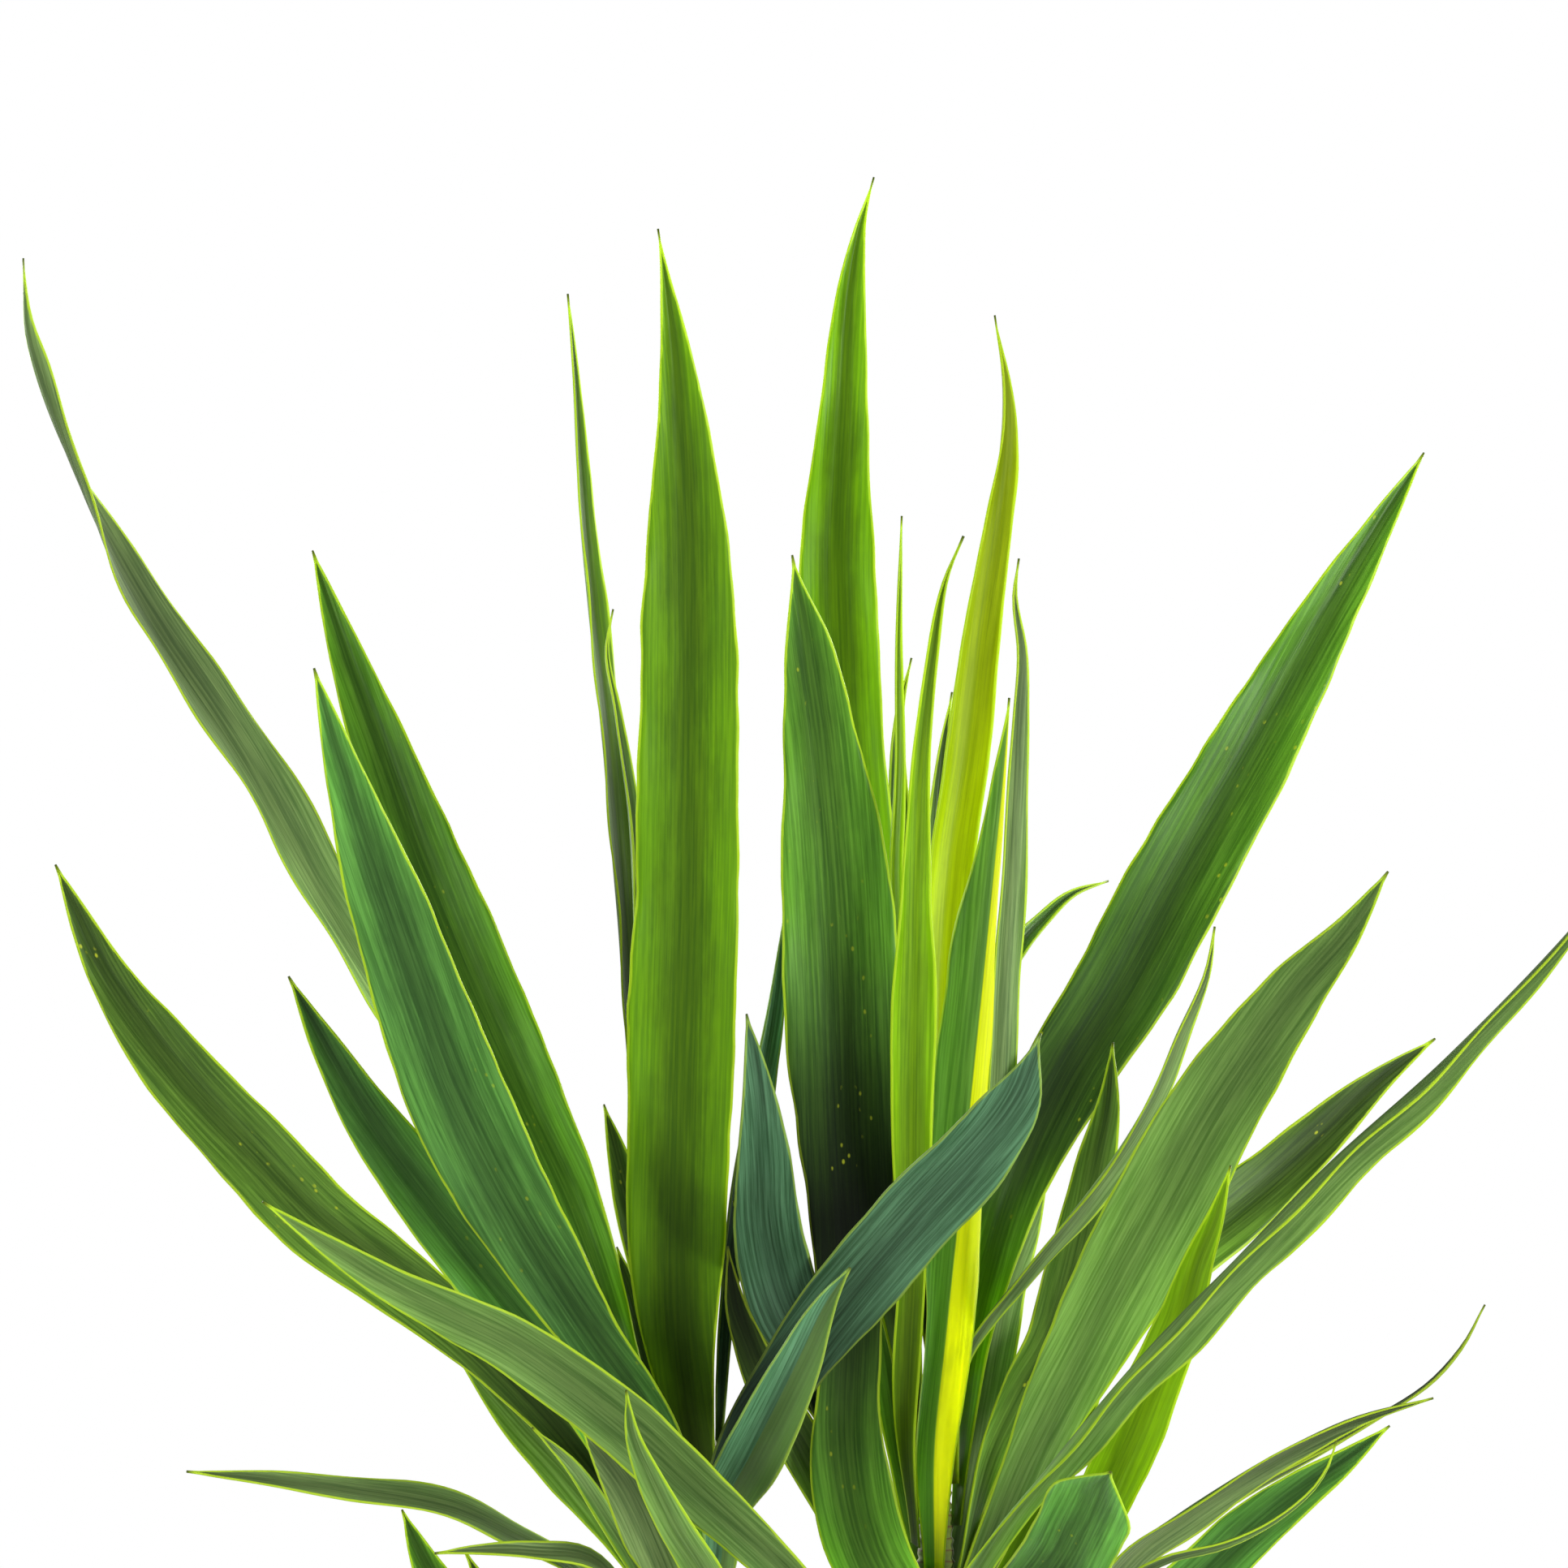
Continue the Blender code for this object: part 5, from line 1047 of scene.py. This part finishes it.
# %% Crumbs and perlite
CRUMBS = 420
PERLITE = 60
LOOSE_FROM = CANE_RADIUS + 0.004
LOOSE_TO = soil_radius - 0.005
LOOSE_STRAY = 0.003
GOLDEN_ANGLE = 2.39996
CRUMB_SHAPE = Vector((1.2, 1.0, 0.7))
CRUMB_RISE = 0.2
CRUMB_ROUGHNESS = 0.35
DENTS_PER_M = 900


def scatter(name, count, low, high, material, offset):
    """Lumps of a few millimetres on the soil, as one piece. Places follow a sunflower spiral, and sines of
    large numbers stand in for chance."""
    shape = bmesh.new()
    for index in range(count):
        reach = math.sqrt((index + 0.5) / count) * (LOOSE_TO - LOOSE_FROM) + LOOSE_FROM
        reach += LOOSE_STRAY * math.sin(index * 12.9 + offset)
        reach = min(max(reach, LOOSE_FROM), LOOSE_TO)
        angle = index * GOLDEN_ANGLE + offset
        radius = low + (high - low) * (0.5 + 0.5 * math.sin(index * 78.2 + offset)) ** 2
        place = Vector((reach * math.cos(angle), reach * math.sin(angle),
                        soil_height(reach) + radius * CRUMB_RISE))
        made = bmesh.ops.create_icosphere(shape, subdivisions=1, radius=radius)
        for vert in made["verts"]:
            push = 1 + CRUMB_ROUGHNESS * noise.noise(vert.co * DENTS_PER_M + Vector((index, offset, 0)))
            vert.co = vert.co * CRUMB_SHAPE * push + place
    finish_piece(name, shape, material, smooth=False)


scatter("bark_crumbs", CRUMBS, 0.0010, 0.0034, soil_material("bark crumbs", "1c120b", "5b3f28"), 0.4)
scatter("perlite_grains", PERLITE, 0.0009, 0.0018, soil_material("perlite", "9a968c", "efece4"), 2.1)

# %% [markdown]
# ## Woody cane
# The cane is a sawn length of old trunk. Its bark is corky and grey-brown, split into shallow upright
# cracks and ringed by the scars of fallen leaves. The top was sawn level and sealed with wax. A circle is
# extruded upward in many rings, and noise moves their points in and out.

# %% Bark
# Sizes in millimetres: the cracks, drawn out upward, and the scars, drawn out round the cane.
CRACK_MM = 5.88
CRACK_SQUEEZE = 0.28
SCAR_MM = 5.26
SCAR_SQUEEZE = 0.25


def bark_material():
    """Corky bark: pale grey ridges over brown cracks."""
    material, tree, output = new_material("corky yucca bark")
    place = add(tree, "ShaderNodeTexCoord").outputs["Object"]
    tall = add(tree, "ShaderNodeMapping", Vector=place, Scale=(1.0, 1.0, CRACK_SQUEEZE)).outputs[0]
    flat = add(tree, "ShaderNodeMapping", Vector=place, Scale=(SCAR_SQUEEZE, SCAR_SQUEEZE, 1.0)).outputs[0]
    cracks = add(tree, "ShaderNodeTexNoise", Vector=tall, Scale=MM_IN_M / CRACK_MM, Detail=6.0,
                 Roughness=0.65).outputs["Fac"]
    scars = add(tree, "ShaderNodeTexNoise", Vector=flat, Scale=MM_IN_M / SCAR_MM, Detail=3.0).outputs["Fac"]
    both = add(tree, "ShaderNodeMath", {"operation": "ADD"}, _0=cracks, _1=scars).outputs[0]
    tone = add(tree, "ShaderNodeMapRange", Value=both, From_Min=0.75, From_Max=1.25).outputs[0]
    colour = add(tree, "ShaderNodeMix", {"data_type": "RGBA"}, _0=tone, _6=linear("3b2b1f"),
                 _7=linear("a08c72")).outputs[2]
    bump = add(tree, "ShaderNodeBump", Strength=0.7, Distance=0.0015, Height=both).outputs[0]
    bark = add(tree, "ShaderNodeBsdfPrincipled", Base_Color=colour, Roughness=0.9, Normal=bump)
    tree.links.new(bark.outputs[0], output.inputs["Surface"])
    return material


# %% Sealed saw cut
# The size of the waves in the wax, in millimetres.
WAX_MM = 8.33


def wax_material():
    """Tinted grafting wax over the cut: smooth, slightly shiny, and a little uneven in colour."""
    material, tree, output = new_material("wax over the saw cut")
    place = add(tree, "ShaderNodeTexCoord").outputs["Object"]
    wavy = add(tree, "ShaderNodeTexNoise", Vector=place, Scale=MM_IN_M / WAX_MM, Detail=3.0).outputs["Fac"]
    tone = add(tree, "ShaderNodeMapRange", Value=wavy, From_Min=0.35, From_Max=0.65)
    colour = add(tree, "ShaderNodeMix", {"data_type": "RGBA"}, _0=tone.outputs[0], _6=linear("6f6a4c"),
                 _7=linear("958c66")).outputs[2]
    bump = add(tree, "ShaderNodeBump", Strength=0.3, Distance=0.0006, Height=wavy).outputs[0]
    wax = add(tree, "ShaderNodeBsdfPrincipled", Base_Color=colour, Roughness=0.42, Normal=bump)
    tree.links.new(wax.outputs[0], output.inputs["Surface"])
    return material


# %% Relief of the bark
# Each pattern's depth in metres, and how many of it there are in a metre across the cane and up it. The
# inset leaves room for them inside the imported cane.
CRACKS = (0.0010, 130, 38)
SCARS = (0.0006, 30, 170)
SWELLS = (0.0012, 22, 14)
BARK_LAYERS = (0.8, 2.0, 4)
BARK_INSET = 0.0012


def relief(pattern, spot, rough=False):
    """How far a pattern moves a point of the bark in or out. A rough one has finer layers laid over it."""
    depth, across, up = pattern
    place = Vector((spot.x * across, spot.y * across, spot.z * up))
    return depth * (noise.fractal(place, *BARK_LAYERS) if rough else noise.noise(place))


# %% Cane shape
CANE_STEPS = 120
CANE_RINGS = 190
CANE_CHAMFER = 0.0012
CANE_TOP_SHARE = 0.955
cane_low, cane_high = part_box("cane")

shape = bmesh.new()
bmesh.ops.create_circle(shape, segments=CANE_STEPS, radius=CANE_RADIUS)
bmesh.ops.translate(shape, verts=shape.verts, vec=(0, 0, cane_low.z))
bmesh.ops.contextual_create(shape, geom=list(shape.edges))
circle = list(shape.edges)
for step in range(1, CANE_RINGS + 1):
    ring, circle = extrude_ring(shape, circle)
    height = cane_low.z + (cane_high.z - CANE_CHAMFER - cane_low.z) * step / CANE_RINGS
    for vert in ring:
        out = Vector((vert.co.x, vert.co.y, 0.0)).normalized()
        spot = Vector((out.x * CANE_RADIUS, out.y * CANE_RADIUS, height))
        reach = CANE_RADIUS - BARK_INSET + relief(CRACKS, spot, rough=True)
        reach += relief(SCARS, spot) + relief(SWELLS, spot)
        vert.co = (out.x * reach, out.y * reach, height)
ring, circle = extrude_ring(shape, circle)
for vert in ring:
    vert.co = (vert.co.x * CANE_TOP_SHARE, vert.co.y * CANE_TOP_SHARE, cane_high.z)
cap = bmesh.ops.contextual_create(shape, geom=circle)["faces"]
bmesh.ops.recalc_face_normals(shape, faces=shape.faces)
for face in cap:
    face.material_index = 1
cane = finish_piece("woody_cane", shape, bark_material(), node="cane", sharp_from=50)
# The face that was closed last is the cut, and wears the second finish.
cane.data.materials.append(wax_material())


# %% [markdown]
# ## Green side shoots
# Each shoot breaks through the bark near the cane's top and turns upward into the light. It is green and
# ringed, one ring for each leaf it has dropped, and its foot swells where it joins the cane. Its rings are
# laid along a quarter of an ellipse and then straight up.

# %% Shoot finish
# In millimetres: the way from one leaf scar to the next, and the size of the clouds of colour.
RING_MM = 5.0
CLOUDING_MM = 6.67


def shoot_material():
    """Young stem: olive green, brown in the scars between its rings."""
    material, tree, output = new_material("ringed green shoot")
    along = add(tree, "ShaderNodeAttribute", {"attribute_name": "along_mm"}).outputs["Fac"]
    place = add(tree, "ShaderNodeTexCoord").outputs["Object"]
    cloud = add(tree, "ShaderNodeTexNoise", Vector=place, Scale=MM_IN_M / CLOUDING_MM,
                Detail=4.0).outputs["Fac"]
    turns = add(tree, "ShaderNodeMath", {"operation": "DIVIDE"}, _0=along, _1=RING_MM).outputs[0]
    rough = add(tree, "ShaderNodeMath", {"operation": "MULTIPLY_ADD"}, _0=cloud, _1=0.35, _2=turns).outputs[0]
    ring = add(tree, "ShaderNodeMath", {"operation": "FRACT"}, _0=rough).outputs[0]
    scar = add(tree, "ShaderNodeMapRange", Value=ring, From_Min=0.78, From_Max=0.95).outputs[0]
    skin = add(tree, "ShaderNodeMix", {"data_type": "RGBA"}, _0=cloud, _6=linear("55682a"),
               _7=linear("93a34c")).outputs[2]
    colour = add(tree, "ShaderNodeMix", {"data_type": "RGBA"}, _0=scar, _6=skin,
                 _7=linear("6b4a2a")).outputs[2]
    bump = add(tree, "ShaderNodeBump", Strength=0.4, Distance=0.0008, Height=cloud).outputs[0]
    stem = add(tree, "ShaderNodeBsdfPrincipled", Base_Color=colour, Roughness=0.6, Normal=bump)
    tree.links.new(stem.outputs[0], output.inputs["Surface"])
    return material


# %% Shoot route
CANE_TOP = 0.376
SHOOT_START_BELOW_TOP = 0.040
SHOOT_BEND_RISE = 0.080
BEND_HIDDEN = 0.40
BEND_RINGS = 46
STRAIGHT_RINGS = 74
# BEND_HIDDEN is the share of the way out, to where the shoot is upright, that lies inside the cane.


def shoot_path(x):
    """Points along a shoot, from just inside the cane: a quarter of an ellipse, then straight up."""
    path = []
    first = math.asin(BEND_HIDDEN)
    for step in range(BEND_RINGS + 1):
        angle = first + (math.pi / 2 - first) * step / BEND_RINGS
        rise = SHOOT_BEND_RISE * (1 - math.cos(angle))
        path.append(Vector((x * math.sin(angle), 0.0, CANE_TOP - SHOOT_START_BELOW_TOP + rise)))
    upright = path[-1].z
    rest_of_way = CROWN_HEIGHT + SHOOT_TIP_ABOVE_CROWN - upright
    for step in range(1, STRAIGHT_RINGS + 1):
        path.append(Vector((x, 0.0, upright + rest_of_way * step / STRAIGHT_RINGS)))
    return path


# %% Shoot thickness
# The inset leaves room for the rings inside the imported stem. A ring rises and drops over these shares of the
# way from one scar to the next.
SHOOT_INSET = 0.0014
RING_SWELL = 0.0011
RING_RISES = (0.1, 0.7)
RING_DROPS = (0.72, 0.92)
FOOT_SWELL = 0.0030
FOOT_SWELL_LENGTH = 0.020


def stem_radius(height, run):
    """The stem's radius, which swells slowly toward each scar, drops fast at it, and is wider at its foot."""
    phase = (run * MM_IN_M / RING_MM) % 1.0
    risen, dropped = (ease((phase - start) / (end - start)) for start, end in (RING_RISES, RING_DROPS))
    foot = FOOT_SWELL * (1 - ease(run / FOOT_SWELL_LENGTH))
    return shoot_radius(height - CROWN_HEIGHT) - SHOOT_INSET + RING_SWELL * risen * (1 - dropped) + foot


# %% Shoot shape
# Each point of a ring is known by its place on a unit circle. An extruded point starts where the one below
# it is, so its place is looked up there.
SHOOT_SIDES = 40
PLACE_DIGITS = 7
LEVEL = Vector((0.0, 1.0, 0.0))
green_shoot = shoot_material()

for side, x in SHOOT_X.items():
    path = shoot_path(x)
    shape = bmesh.new()
    along_mm = shape.verts.layers.float.new("along_mm")
    bmesh.ops.create_circle(shape, cap_ends=True, segments=SHOOT_SIDES, radius=1.0)
    ring, circle = list(shape.verts), list(shape.edges)
    unit = {vert: vert.co.copy() for vert in ring}
    run = 0.0
    for index, point in enumerate(path):
        if index:
            run += (point - path[index - 1]).length
            ring, circle = extrude_ring(shape, circle)
            unit = {vert: unit_of[vert.co.to_tuple(PLACE_DIGITS)] for vert in ring}
        ahead = path[min(index + 1, len(path) - 1)] - path[max(index - 1, 0)]
        sideways = LEVEL.cross(ahead.normalized()).normalized()
        radius = stem_radius(point.z, run)
        unit_of = {}
        for vert in ring:
            spot = unit[vert]
            vert.co = point + (sideways * spot.x + LEVEL * spot.y) * radius
            vert[along_mm] = run * MM_IN_M
            unit_of[vert.co.to_tuple(PLACE_DIGITS)] = spot
    bmesh.ops.contextual_create(shape, geom=circle)
    bmesh.ops.recalc_face_normals(shape, faces=shape.faces)
    finish_piece("ringed_shoot_" + side, shape, green_shoot, node="shoot_" + side,
                 sharp_from=60)

# %% [markdown]
# ## Finish
# The last step measures the boxes of the imported model and of the dressed plant, side by side: the plant
# should not have grown or moved.

# %% Sizes
size_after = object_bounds()


def plain(value):
    """Nested vectors as plain lists of numbers."""
    return [plain(item) for item in value] if hasattr(value, "__len__") else float(value)


{"cad": plain(size_before), "visual": plain(size_after)}
print("packed box:", plain(size_before))
print("dressed box:", plain(size_after))
